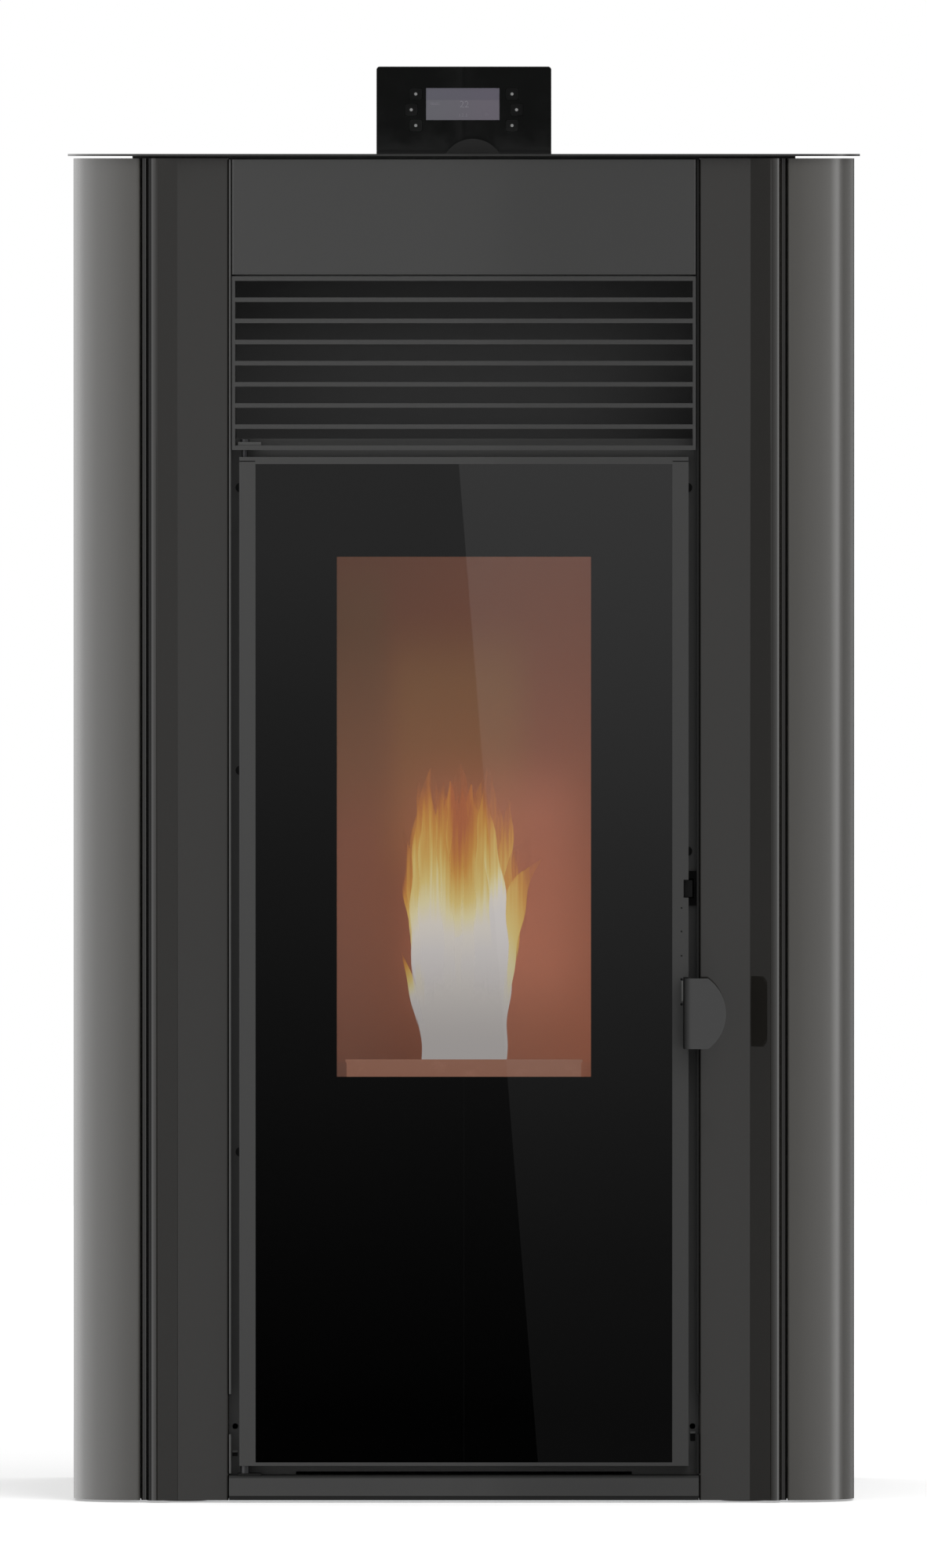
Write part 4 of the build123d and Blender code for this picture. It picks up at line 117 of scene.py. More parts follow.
class Paint:
    """One procedural finish, with the nodes that make it."""

    def __init__(self, name, block=None):
        self.block = block or bpy.data.materials.new(name)
        self.block.use_nodes = True
        self.tree = self.block.node_tree
        self.tree.nodes.clear()
        place = self.node("ShaderNodeTexCoord").outputs["Object"]
        self.place = Wire(self, place)
        parts = self.node("ShaderNodeSeparateXYZ", {}, {0: self.place})
        self.x, self.y, self.z = (Wire(self, parts.outputs[i]) for i in range(3))

    def node(self, kind, settings=None, sockets=None):
        made = self.tree.nodes.new(kind)
        for name, value in (settings or {}).items():
            setattr(made, name, value)
        for key, value in (sockets or {}).items():
            socket = made.inputs[key]
            if isinstance(value, Wire):
                self.tree.links.new(value.socket, socket)
            elif socket.type == "RGBA":
                socket.default_value = (*value, 1.0)
            else:
                socket.default_value = value
        return made

    def wire(self, kind, settings=None, sockets=None, output=0):
        return Wire(self, self.node(kind, settings, sockets).outputs[output])

    def math(self, operation, first, second):
        return self.wire("ShaderNodeMath", {"operation": operation}, {0: first, 1: second})

    def ramp(self, value, low, high, bottom=0.0, top=1.0):
        """Value from low to high, eased onto bottom to top."""
        sockets = {"Value": value, "From Min": low, "From Max": high, "To Min": bottom, "To Max": top}
        return self.wire("ShaderNodeMapRange", {"interpolation_type": "SMOOTHSTEP"}, sockets)

    def larger(self, first, second):
        return self.math("MAXIMUM", first, second)

    def smaller(self, first, second):
        return self.math("MINIMUM", first, second)

    def stretched(self, x, y, z):
        """The place on the piece, scaled along each axis."""
        sockets = {0: self.place, 1: (x, y, z)}
        return self.wire("ShaderNodeVectorMath", {"operation": "MULTIPLY"}, sockets)

    def noise(self, scale, detail=3.0, rough=0.5, place=None):
        sockets = {"Vector": place or self.place, "Scale": scale, "Detail": detail, "Roughness": rough}
        return self.wire("ShaderNodeTexNoise", {}, sockets)

    def cells(self, scale, feature="F1", output="Distance"):
        sockets = {"Vector": self.place, "Scale": scale}
        return self.wire("ShaderNodeTexVoronoi", {"feature": feature}, sockets, output)

    def mix(self, share, first, second):
        """Colour first at share 0, second at 1."""
        made = self.node("ShaderNodeMix", {"data_type": "RGBA"}, {0: share, 6: first, 7: second})
        return Wire(self, made.outputs[2])

    def colours(self, value, stops):
        """Value from 0 to 1 through a row of colours."""
        made = self.node("ShaderNodeValToRGB", {}, {0: value})
        made.color_ramp.interpolation = "LINEAR"
        while len(made.color_ramp.elements) < len(stops):
            made.color_ramp.elements.new(0.5)
        for element, (position, colour) in zip(made.color_ramp.elements, stops):
            element.position = position
            element.color = (*colour, 1.0)
        return Wire(self, made.outputs[0])

    def bump(self, height, depth):
        sockets = {"Height": height, "Distance": depth, "Strength": 1.0}
        return self.wire("ShaderNodeBump", {}, sockets)

    def metal_or_plastic(self, base, roughness, **fixed):
        sockets = {"Base Color": base, "Roughness": roughness}
        for name, value in fixed.items():
            sockets[name.replace("_", " ").title().replace("Ior", "IOR")] = value
        return self.wire("ShaderNodeBsdfPrincipled", {}, sockets)

    def blend(self, share, first, second):
        return self.wire("ShaderNodeMixShader", {}, {0: share, 1: first, 2: second})

    def done(self, surface):
        self.node("ShaderNodeOutputMaterial", {}, {"Surface": surface})
        return self.block


# ---------------------------------------------------------------- finishes
def sheet_coating(name, base, roughness, texture, bump_depth, dust=0.12, gloss=0.5, shade=None):
    """Baked coating on sheet steel: fine orange peel, faint clouds of wear and dust.

    shade gives the share of painted shade at a place: a dull dark coat where shade falls, as in a fold or
    behind an edge.
    """
    paint = Paint(name)
    clouds = paint.noise(3.5, 4.0, 0.6)
    specks = paint.noise(texture, 2.0, 0.55)
    rubbed = paint.ramp(paint.noise(14.0, 5.0, 0.62, paint.stretched(1.0, 1.0, 0.35)), 0.55, 0.8)
    lighter = tuple(value * (1 + dust) for value in base)
    darker = tuple(value * (1 - dust) for value in base)
    colour = paint.mix(clouds, darker, lighter)
    colour = paint.mix(specks * 0.3, colour, tuple(value * 1.25 for value in base))
    shine = roughness + rubbed * 0.05 + (specks - 0.5) * 0.04
    relief = paint.bump(specks, bump_depth)
    coat = paint.metal_or_plastic(colour, shine, normal=relief, specular_ior_level=gloss)
    if shade:
        # painted shade: a dull near-black mixed in by the share that shade gives
        painted_shade_black = paint.mix(specks, (0.004,) * 3, (0.006,) * 3)
        dull = paint.wire("ShaderNodeBsdfDiffuse", {}, {"Color": painted_shade_black})
        coat = paint.blend(shade(paint), coat, dull)
    return paint.done(coat)


def band(value, low, high, soft):
    """1 between low and high, easing to 0 over a soft margin."""
    paint = value.paint
    return paint.ramp(value, low - soft, low) * paint.ramp(value, high, high + soft, 1.0, 0.0)


def galvanised(name):
    """Zinc-coated sheet: crystal spangle, dull streaks and a few darker stains."""
    paint = Paint(name)
    spangle = paint.cells(95.0, "F1", output="Color")
    facet = paint.wire("ShaderNodeSeparateColor", {}, {0: spangle})
    streaks = paint.noise(9.0, 4.0, 0.6, paint.stretched(1.0, 1.0, 0.2))
    stains = paint.ramp(paint.noise(5.0, 6.0, 0.7), 0.55, 0.75)
    colour = paint.mix(facet, (0.42, 0.44, 0.46), (0.56, 0.58, 0.6))
    colour = paint.mix(streaks * 0.5, colour, (0.36, 0.37, 0.38))
    colour = paint.mix(stains * 0.35, colour, (0.25, 0.24, 0.22))
    shine = 0.36 + facet * 0.16 + streaks * 0.1
    relief = paint.bump(facet + paint.noise(600.0) * 0.3, 0.00002)
    return paint.done(paint.metal_or_plastic(colour, shine, metallic=0.9, normal=relief))


def turned_steel(name, base, roughness):
    """Machined steel parts: fine tool lines, smudges and darker spots."""
    paint = Paint(name)
    lines = paint.noise(900.0, 2.0, 0.5, paint.stretched(0.15, 1.0, 1.0))
    smudge = paint.noise(28.0, 5.0, 0.65)
    spots = paint.ramp(paint.noise(160.0, 4.0, 0.6), 0.62, 0.75)
    colour = paint.mix(smudge, tuple(v * 0.75 for v in base), tuple(v * 1.15 for v in base))
    colour = paint.mix(spots * 0.5, colour, tuple(v * 0.45 for v in base))
    shine = roughness + smudge * 0.14 + spots * 0.2
    relief = paint.bump(lines, 0.00001)
    return paint.done(paint.metal_or_plastic(colour, shine, metallic=0.85, normal=relief))


def scorched_steel(name):
    """Heat-proof plate of the firebox: soot, brown heat tint, pale ash, and painted firelight glowing on a
    ledge.
    """
    paint = Paint(name)
    soot = paint.noise(7.0, 6.0, 0.66)
    ash = paint.ramp(paint.noise(38.0, 5.0, 0.6), 0.52, 0.8)
    scale = paint.noise(420.0, 3.0, 0.6)
    colour = paint.mix(soot, tint(58, 52, 50), tint(98, 82, 74))
    colour = paint.mix(ash * 0.45, colour, tint(150, 132, 120))
    shine = 0.62 + soot * 0.2 + scale * 0.1
    relief = paint.bump(scale + ash * 0.6, 0.0001)
    # painted firelight: a glow on the ledge in front of the pot
    painted_firelight = paint.ramp(paint.z, 0.372, 0.38) * paint.ramp(paint.z, 0.40, 0.41, 1.0, 0.0)
    painted_firelight = painted_firelight * (paint.y < -0.28) * (abs(paint.x) < 0.14)
    glow = paint.mix(painted_firelight, (0.0, 0.0, 0.0), (0.245, 0.112, 0.074))
    sockets = {"Base Color": colour, "Roughness": shine, "Metallic": 0.15, "Normal": relief}
    sockets.update({"Emission Color": glow, "Emission Strength": 1.0})
    return paint.done(paint.wire("ShaderNodeBsdfPrincipled", {}, sockets))


def cast_iron(name):
    """Sand-cast iron: pits, lighter and darker grey, and a rusty bloom."""
    paint = Paint(name)
    pits = paint.cells(520.0)
    bloom = paint.ramp(paint.noise(26.0, 5.0, 0.62), 0.5, 0.75)
    colour = paint.mix(paint.noise(60.0, 4.0), tint(52, 50, 49), tint(82, 78, 75))
    colour = paint.mix(bloom * 0.5, colour, tint(116, 78, 58))
    shine = 0.55 + pits * 0.25
    relief = paint.bump(pits + paint.noise(240.0) * 0.5, 0.00018)
    return paint.done(paint.metal_or_plastic(colour, shine, metallic=0.55, normal=relief))


def fire_clay(name):
    """Pressed mineral lining with flakes, and painted firelight glowing on it: pinkish low down, deep orange
    high up.
    """
    paint = Paint(name)
    flakes = paint.cells(420.0)
    cloud = paint.noise(5.0, 3.0, 0.5)
    soot = paint.ramp(paint.z, 0.55, 0.86)
    sideways = paint.ramp(paint.x, -0.12, 0.12)
    colour = paint.mix(soot, tint(150, 112, 98), tint(112, 98, 86))
    colour = paint.mix(cloud * 0.25, colour, tint(120, 96, 76))
    colour = paint.mix(paint.ramp(flakes, 0.0, 0.0015) * 0.1, colour, tint(196, 150, 120))
    relief = paint.bump(flakes + paint.noise(700.0) * 0.4, 0.00002)
    # painted firelight: an orange glow over the whole lining, with brighter and paler patches where the fire
    # lights it
    low = paint.mix(sideways, (0.058, 0.027, 0.022), (0.182, 0.057, 0.029))
    high = paint.mix(sideways, (0.060, 0.014, 0.003), (0.095, 0.018, 0.004))
    glow = paint.mix(paint.ramp(paint.z, 0.45, 0.80), low, high)
    glow = paint.mix(cloud * 0.3, glow, (0.085, 0.030, 0.010))
    haze = band(paint.x, -0.045, 0.030, 0.045) * band(paint.z, 0.60, 0.72, 0.08)
    glow = paint.mix(haze * 0.65, glow, (0.112, 0.056, 0.012))
    pale = band(paint.x, -0.110, -0.085, 0.030) * band(paint.z, 0.66, 0.78, 0.08)
    glow = paint.mix(pale * 0.6, glow, (0.050, 0.028, 0.008))
    painted_firelight = band(paint.x, -0.015, 0.070, 0.060) * band(paint.z, 0.49, 0.60, 0.08)
    glow = paint.mix(painted_firelight * 0.5, glow, (0.300, 0.100, 0.062))
    sockets = {"Base Color": colour, "Roughness": 0.92, "Normal": relief, "Specular IOR Level": 0.1}
    sockets.update({"Emission Color": glow, "Emission Strength": 1.0})
    return paint.done(paint.wire("ShaderNodeBsdfPrincipled", {}, sockets))


def printed_glass(name):
    """Ceramic door glass: clear in the middle, black print behind the rest."""
    paint = Paint(name)
    corner = seen(753.5, 710.0)
    foot = seen(753.5, 1373.5)
    inside = (abs(paint.x) < corner.x) * (paint.z < corner.z) * (paint.z > foot.z)
    haze = paint.noise(900.0, 2.0)
    print_base = paint.mix(haze, (0.0004, 0.0004, 0.0004), (0.0009, 0.0009, 0.0009))
    smear = paint.noise(7.0, 4.0, 0.6, paint.stretched(1.0, 1.0, 0.4))
    border = paint.metal_or_plastic(print_base, 0.003 + smear * 0.003)
    see_through = paint.mix(smear * 0.15, (0.9, 0.885, 0.875), (0.85, 0.835, 0.825))
    clear = paint.wire("ShaderNodeBsdfTransparent", {}, {0: see_through})
    shine = paint.wire("ShaderNodeBsdfGlossy", {}, {"Color": WHITE, "Roughness": 0.0})
    mirror = paint.wire("ShaderNodeFresnel", {}, {"IOR": 1.5})
    window = paint.blend(mirror, clear, shine)
    return paint.done(paint.blend(inside, border, window))


def rope(name):
    """Braided glass-fibre rope: crossing strands, grey with sooty patches."""
    paint = Paint(name)
    run = paint.x + paint.z
    lean = paint.x - paint.z
    strands = paint.math("SINE", run * 1600.0, 0.0) * paint.math("SINE", lean * 1600.0, 0.0)
    fuzz = paint.noise(1500.0, 2.0)
    soot = paint.noise(18.0, 4.0)
    colour = paint.mix(soot, tint(40, 39, 38), tint(88, 85, 80))
    colour = paint.mix(abs(strands) * 0.4, colour, tint(110, 106, 98))
    relief = paint.bump(strands * 0.5 + fuzz * 0.5, 0.0006)
    return paint.done(paint.metal_or_plastic(colour, 0.95, normal=relief))


def casting(name, base, metallic, roughness):
    """Die-cast or painted-cast housings: soft pits and cloudy patches."""
    paint = Paint(name)
    grain = paint.noise(480.0, 3.0, 0.6)
    patch = paint.noise(20.0, 4.0, 0.6)
    colour = paint.mix(patch, tuple(v * 0.8 for v in base), tuple(v * 1.15 for v in base))
    colour = paint.mix(paint.ramp(grain, 0.55, 0.75) * 0.4, colour, tuple(v * 0.6 for v in base))
    relief = paint.bump(grain, 0.00006)
    shine = roughness + patch * 0.12
    return paint.done(paint.metal_or_plastic(colour, shine, metallic=metallic, normal=relief))


def circuit(name):
    """Green circuit board with paler copper runs under the lacquer."""
    paint = Paint(name)
    places = paint.stretched(420.0, 420.0, 420.0)
    blocks = paint.wire("ShaderNodeTexVoronoi", {"distance": "CHEBYCHEV"}, {"Vector": places, "Scale": 0.35})
    runs = paint.ramp(paint.math("FRACT", blocks * 3.0, 0.0), 0.38, 0.52)
    colour = paint.mix(runs, tint(18, 62, 38), tint(46, 104, 62))
    colour = paint.mix(paint.noise(40.0) * 0.3, colour, tint(12, 40, 26))
    shine = 0.35 + paint.noise(60.0) * 0.12
    relief = paint.bump(runs, 0.00003)
    return paint.done(paint.metal_or_plastic(colour, shine, normal=relief))


def moulded(name, base, roughness, grain_depth=0.00002):
    """Moulded plastic or rubber: spark texture, finger marks and fine dust."""
    paint = Paint(name)
    spark = paint.noise(1300.0, 3.0, 0.6)
    marks = paint.noise(45.0, 5.0, 0.65)
    colour = paint.mix(marks, tuple(v * 0.85 for v in base), tuple(v * 1.2 for v in base))
    colour = paint.mix(paint.ramp(spark, 0.6, 0.8) * 0.2, colour, tuple(v * 1.8 + 0.004 for v in base))
    relief = paint.bump(spark, grain_depth)
    shine = roughness + (marks - 0.5) * 0.1
    return paint.done(paint.metal_or_plastic(colour, shine, normal=relief))


def display_glass(name):
    """Liquid-crystal display: grey violet in fine columns and rows, darker in its upper part."""
    paint = Paint(name)
    columns = paint.math("SINE", paint.x * 12500.0, 0.0) * 0.5 + 0.5
    rows = paint.math("SINE", paint.z * 9000.0, 0.0) * 0.5 + 0.5
    upper_part = paint.ramp(paint.z, 1.2532, 1.2536)
    side = paint.ramp(paint.x, -0.03, 0.03)
    colour = paint.mix(side, tint(109, 108, 115), tint(111, 106, 116))
    colour = paint.mix(upper_part * 0.35, colour, tint(84, 82, 98))
    colour = paint.mix(columns * rows * 0.12, colour, tint(70, 68, 78))
    shine = 0.22 + paint.noise(60.0) * 0.08
    return paint.done(paint.metal_or_plastic(colour, shine, specular_ior_level=0.2))


def glowing(name, colour, strength):
    """A steady glow, for the marks on the keys and the display."""
    paint = Paint(name)
    spread = paint.noise(900.0, 2.0)
    shade = paint.mix(spread * 0.25, colour, tuple(v * 0.7 for v in colour))
    lit = paint.wire("ShaderNodeEmission", {}, {"Color": shade, "Strength": strength})
    return paint.done(lit)


def fire(name, softness):
    """Burning gas: pale at the pot, then yellow and orange, thinning out at the tips and edges."""
    paint = Paint(name)
    along = paint.wire("ShaderNodeAttribute", {"attribute_name": "flame_cooling"}, {}, "Fac")
    rise = paint.wire("ShaderNodeAttribute", {"attribute_name": "flame_rise"}, {}, "Fac")
    flicker = paint.noise(10.0, 3.0, 0.55, paint.stretched(9.0, 3.0, 1.2))
    streaks = paint.noise(15.0, 2.0, 0.5, paint.stretched(22.0, 6.0, 0.6))
    edge = paint.wire("ShaderNodeLayerWeight", {}, {"Blend": 0.5}, "Facing")
    upper = paint.ramp(paint.z, 0.50, 0.57)
    outward = paint.ramp(abs(paint.x), 0.0405, 0.0640, 0.0, 0.30)
    middle = band(paint.x, -0.010, 0.003, 0.010) * paint.ramp(paint.z, 0.505, 0.60, 0.0, 0.27)
    thinned = along + outward + upper * ((flicker - 0.5) * 0.3 + (streaks - 0.5) * 0.5)
    cooled = thinned + middle
    stops = [
        (0.0, (0.635, 0.618, 0.615)),
        (0.13, (0.675, 0.645, 0.590)),
        (0.25, (0.700, 0.640, 0.385)),
        (0.38, (0.655, 0.520, 0.195)),
        (0.53, (0.605, 0.398, 0.112)),
        (0.68, (0.550, 0.275, 0.060)),
        (0.84, (0.480, 0.185, 0.048)),
        (1.0, (0.400, 0.125, 0.050)),
    ]
    colour = paint.colours(cooled, stops)
    foot = paint.ramp(paint.z, 0.40, 0.53, 0.63, 1.05)
    share = paint.ramp(1.0 - edge, 0.0, softness) * paint.ramp(thinned, 0.55, 1.05, 1.0, 0.0)
    share = share * paint.ramp(rise, 0.0, 0.22)
    shown = paint.wire("ShaderNodeVectorMath", {"operation": "SCALE"}, {0: colour, "Scale": foot})
    lit = paint.wire("ShaderNodeEmission", {}, {"Color": shown, "Strength": 1.0})
    clear = paint.wire("ShaderNodeBsdfTransparent", {}, {0: WHITE})
    return paint.done(paint.blend(share, clear, lit))


def ember(name):
    """Burning pellets: grey ash shell with glowing cracks."""
    paint = Paint(name)
    cracks = paint.ramp(paint.cells(700.0, "DISTANCE_TO_EDGE"), 0.0, 0.12, 1.0, 0.0)
    ash = paint.mix(paint.noise(300.0, 4.0), tint(90, 70, 60), tint(170, 150, 138))
    glow = paint.mix(cracks, (0.5, 0.12, 0.03), (1.0, 0.5, 0.15))
    relief = paint.bump(paint.noise(900.0, 3.0), 0.0002)
    sockets = {"Base Color": ash, "Roughness": 0.9, "Normal": relief}
    sockets.update({"Emission Color": glow, "Emission Strength": 0.6})
    return paint.done(paint.wire("ShaderNodeBsdfPrincipled", {}, sockets))


DOOR_FACE = -0.335
STILE_JOINT = seen(860, 588.2, DOOR_FACE).z
JOINT_HALF = 0.0004
STILE_REACH = (0.1865, 0.21)
PLINTH_FOOT_TOP = 0.0058
PLINTH_EDGE = (0.0222, 0.0250)
RIB_LEDGE = 0.0055
RIB_SIDE = NODES["pilaster_right"].bound_box[4][0] - RIB_LEDGE
HANDLE_DARK_EDGE = (0.1960, 0.2035)
FLANGE_LEFT_X, FLANGE_FRONT_Y = 0.2, -0.322
BRACKET_TOP_Z, BRACKET_ROOT_Y = 0.0262, -0.3115


def rib_shade(paint):
    """Painted shade: the left rib is dark along its outer side, next to the ledge."""
    return band(-1.0 * paint.x, RIB_SIDE - 0.0036, RIB_SIDE + 0.0005, 0.0006) * 0.85


def front_shade(paint):
    """Painted shade on the plinth's foot and top edge, and a dark joint line across each door stile."""
    # painted shade: a dark band at the plinth's foot and along its top edge
    foot = band(paint.z, 0.0, PLINTH_FOOT_TOP, 0.0006) * 0.75
    edge = band(paint.z, *PLINTH_EDGE, 0.0006) * 0.5
    joint = band(paint.z, STILE_JOINT - JOINT_HALF, STILE_JOINT + JOINT_HALF, 0.0003)
    joint = joint * band(abs(paint.x), *STILE_REACH, 0.0005)
    joint = joint * band(paint.y, DOOR_FACE - 0.001, DOOR_FACE + 0.002, 0.0002) * 0.8
    return paint.larger(paint.larger(foot, edge), joint)


def handle_shade(paint):
    """Painted shade: the handle is darker along its left edge, next to the door."""
    return paint.ramp(paint.x, *HANDLE_DARK_EDGE, 0.75, 0.0)


def chassis_shade(paint):
    """Painted shade: the right flange's front, the lower hinge bracket and the flanges' feet are dark."""
    flange = (paint.x > FLANGE_LEFT_X) * (paint.y < FLANGE_FRONT_Y)
    bracket = (paint.z < BRACKET_TOP_Z) * (paint.y < BRACKET_ROOT_Y)
    return paint.larger(flange, bracket) * 0.85


pilaster_coat = sheet_coating(
    "pilaster_gloss_coat", (0.0108, 0.0100, 0.0088), 0.05, 700.0, 0.000002, 0.05, shade=rib_shade
)
side_coat = sheet_coating("side_panel_coat", (0.050, 0.048, 0.044), 0.13, 700.0, 0.000003, 0.05)
back_coat = sheet_coating("back_panel_coat", (0.052, 0.050, 0.046), 0.6, 800.0, 0.00001, 0.08, 0.12)
top_coat = sheet_coating("top_plate_coat", (0.0105, 0.0105, 0.0102), 0.22, 1100.0, 0.00001)
front_coat = sheet_coating(
    "front_matt_coat", (0.0250, 0.0250, 0.0245), 0.40, 1200.0, 0.00001, 0.06, shade=front_shade
)
handle_coat = sheet_coating(
    "handle_coat", (0.039, 0.039, 0.039), 0.62, 1200.0, 0.00001, 0.06, 0.25, shade=handle_shade
)
chassis_coat = sheet_coating(
    "chassis_coat", (0.042, 0.042, 0.041), 0.5, 900.0, 0.00002, shade=chassis_shade
)
duct_coat = sheet_coating("duct_coat", (0.05, 0.05, 0.05), 0.7, 900.0, 0.00002, 0.12, 0.2)
bracket_coat = sheet_coating("bracket_coat", (0.012, 0.012, 0.012), 0.8, 1200.0, 0.00001, 0.12, 0.05)
zinc = galvanised("galvanised_sheet")
bright_steel = turned_steel("bright_steel", (0.52, 0.52, 0.53), 0.26)
dark_steel = turned_steel("blackened_steel", (0.050, 0.050, 0.052), 0.42)
black_screw = turned_steel("black_screw_steel", (0.012, 0.012, 0.012), 0.5)
plate_steel = scorched_steel("scorched_plate")
pot_iron = cast_iron("burn_pot_iron")
lining = fire_clay("mineral_lining")
door_pane = printed_glass("printed_door_glass")
seal_rope = rope("seal_rope")
aluminium = casting("cast_aluminium", (0.46, 0.46, 0.47), 0.9, 0.42)
motor_paint = casting("motor_black_paint", (0.022, 0.022, 0.024), 0.1, 0.45)
spigot_paint = casting("spigot_heat_paint", (0.020, 0.020, 0.020), 0.1, 0.6)
board_green = circuit("circuit_board_green")
shell_plastic = moulded("black_plastic_shell", (0.011, 0.011, 0.011), 0.45)
gloss_plate = moulded("gloss_black_plate", (0.0030, 0.0033, 0.0031), 0.05, 0.000002)
key_plastic = moulded("key_black", (0.0040, 0.0042, 0.0041), 0.08, 0.000002)
screen_glass = display_glass("display_screen_glass")
# painted highlight: a light grey coat for thin edges that catch the light
painted_highlight = sheet_coating("painted_highlight_coat", (0.110, 0.110, 0.107), 0.4, 900.0, 0.00001)
rubber = moulded("foot_rubber", (0.018, 0.018, 0.018), 0.8, 0.00006)

FINISHES = {
    pilaster_coat: ["pilaster_left", "pilaster_right"],
    side_coat: ["side_panel_left", "side_panel_right"],
    back_coat: ["back_panel"],
    top_coat: ["top_plate", "hopper_lid"],
    front_coat: ["upper_front_panel", "air_grille", "plinth_panel", "door_frame"],
    handle_coat: ["door_handle"],
    chassis_coat: ["front_frame", "hinge_brackets"],
    duct_coat: ["warm_air_duct"],
    bracket_coat: ["panel_bracket"],
    zinc: [
        "base_plate", "side_frames", "hopper", "auger_tube", "air_intake_pipe",
        "room_fan_housing", "room_fan_rotor",
    ],
    bright_steel: ["auger_screw", "exhaust_impeller", "igniter"],
    dark_steel: ["hinge_pins"],
    black_screw: ["cover_screws", "latch_hook", "latch_keeper"],
    plate_steel: ["firebox_shell", "baffle_plate", "burn_pot_support", "ash_drawer"],
    pot_iron: ["burn_pot"],
    lining: ["firebox_lining"],
    door_pane: ["door_glass"],
    seal_rope: ["door_seals"],
    aluminium: ["exhaust_fan_housing"],
    motor_paint: ["exhaust_fan_motor", "auger_gearmotor", "room_fan_motor"],
    spigot_paint: ["flue_spigot"],
    board_green: ["control_board", "panel_board"],
    shell_plastic: ["panel_housing", "power_inlet"],
    gloss_plate: ["panel_fascia", "power_switch"],
    key_plastic: [f"key_{number}" for number in range(1, 7)],
    screen_glass: ["display_screen"],
    rubber: ["foot_front_left", "foot_front_right", "foot_rear_left", "foot_rear_right"],
}
for finish, names in FINISHES.items():
    for name in names:
        holders = NODES[name].material_slots
        for holder in holders:
            holder.material = finish


# ---------------------------------------------------------------- mesh helpers
def piece(name, builder, material, body, smooth=True):
    """Turns a bmesh into a named piece that rides on a body."""
    mesh = bpy.data.meshes.new(name)
    bmesh.ops.recalc_face_normals(builder, faces=builder.faces)
    builder.to_mesh(mesh)
    builder.free()
    for face in mesh.polygons:
        face.use_smooth = smooth
    made = bpy.data.objects.new(name, mesh)
    bpy.context.scene.collection.objects.link(made)
    mesh.materials.append(material)
    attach(made, body)


def loft(builder, rings):
    """Joins rings of points into a closed skin with a point at each end."""
    rows = [[builder.verts.new(point) for point in ring] for ring in rings]
    for near, far in zip(rows, rows[1:]):
        count = len(near)
        for i in range(count):
            j = (i + 1) % count
            builder.faces.new((near[i], near[j], far[j], far[i]))
    for ring, flip in ((rows[0], False), (rows[-1], True)):
        middle = sum((vertex.co for vertex in ring), Vector()) / len(ring)
        pole = builder.verts.new(middle)
        for i, vertex in enumerate(ring):
            after = ring[(i + 1) % len(ring)]
            builder.faces.new((vertex, after, pole) if flip else (after, vertex, pole))


def spline(points, steps):
    """A smooth line through points that may hold any number of values each."""
    line = []
    padded = [points[0], *points, points[-1]]
    for i in range(len(points) - 1):
        a, b, c, d = padded[i : i + 4]
        for step in range(steps):
            t = step / steps
            value = []
            for p, q, r, s in zip(a, b, c, d):
                value.append(
                    0.5 * (2 * q + (r - p) * t + (2 * p - 5 * q + 4 * r - s) * t * t
                           + (3 * q - 3 * r + s - p) * t * t * t)
                )
            line.append(value)
    line.append(list(points[-1]))
    return line


def tongue(builder, points, depth, coolness, flatness=0.55, sides=14, solid_foot=False):
    """One tongue of flame: column, row and width in picture pixels, bottom to tip.

    coolness says how far its gas has cooled at the foot and at the tip.
    """
    for layer in ("flame_cooling", "flame_rise"):
        if layer not in builder.verts.layers.float:
            builder.verts.layers.float.new(layer)
    line = spline(points, 6)
    rings = []
    for step, (column, row, width) in enumerate(line):
        sway = 1.6 * math.sin(row * 0.085 + points[0][0]) * min(1.0, 4 * step / len(line))
        middle = seen(column + sway * min(1.0, width / 12), row, depth)
        half = max(width, 0.5) * PIXEL / 2
        ring = []
        for i in range(sides):
            turn = 2 * math.pi * i / sides
            ring.append(middle + Vector((half * math.cos(turn), half * flatness * math.sin(turn), 0)))
        rings.append(ring)
    first = len(builder.verts)
    loft(builder, rings)
    builder.verts.ensure_lookup_table()
    low, high = rings[0][0].z, rings[-1][0].z
    cooling, rise = (builder.verts.layers.float[layer] for layer in ("flame_cooling", "flame_rise"))
    for vertex in builder.verts[first:]:
        share = min(1.0, max(0.0, (vertex.co.z - low) / (high - low)))
        vertex[cooling] = coolness[0] + (coolness[1] - coolness[0]) * share**1.25
        vertex[rise] = 1.0 if solid_foot else share


# ---------------------------------------------------------------- the fire
POT_DEPTH = -0.173
core = bmesh.new()
CORE_POINTS = [
    (591.5, 1360, 109), (591.5, 1352, 110), (591.5, 1318, 112), (590.5, 1280, 119), (590, 1240, 126),
    (590, 1206, 120), (589.5, 1188, 104), (588, 1176, 70), (587, 1170, 20),
]
tongue(core, CORE_POINTS, POT_DEPTH, (0.0, 0.1), flatness=0.5, sides=28, solid_foot=True)
piece("fire_core", core, fire("fire_pale", 0.35), "pot")

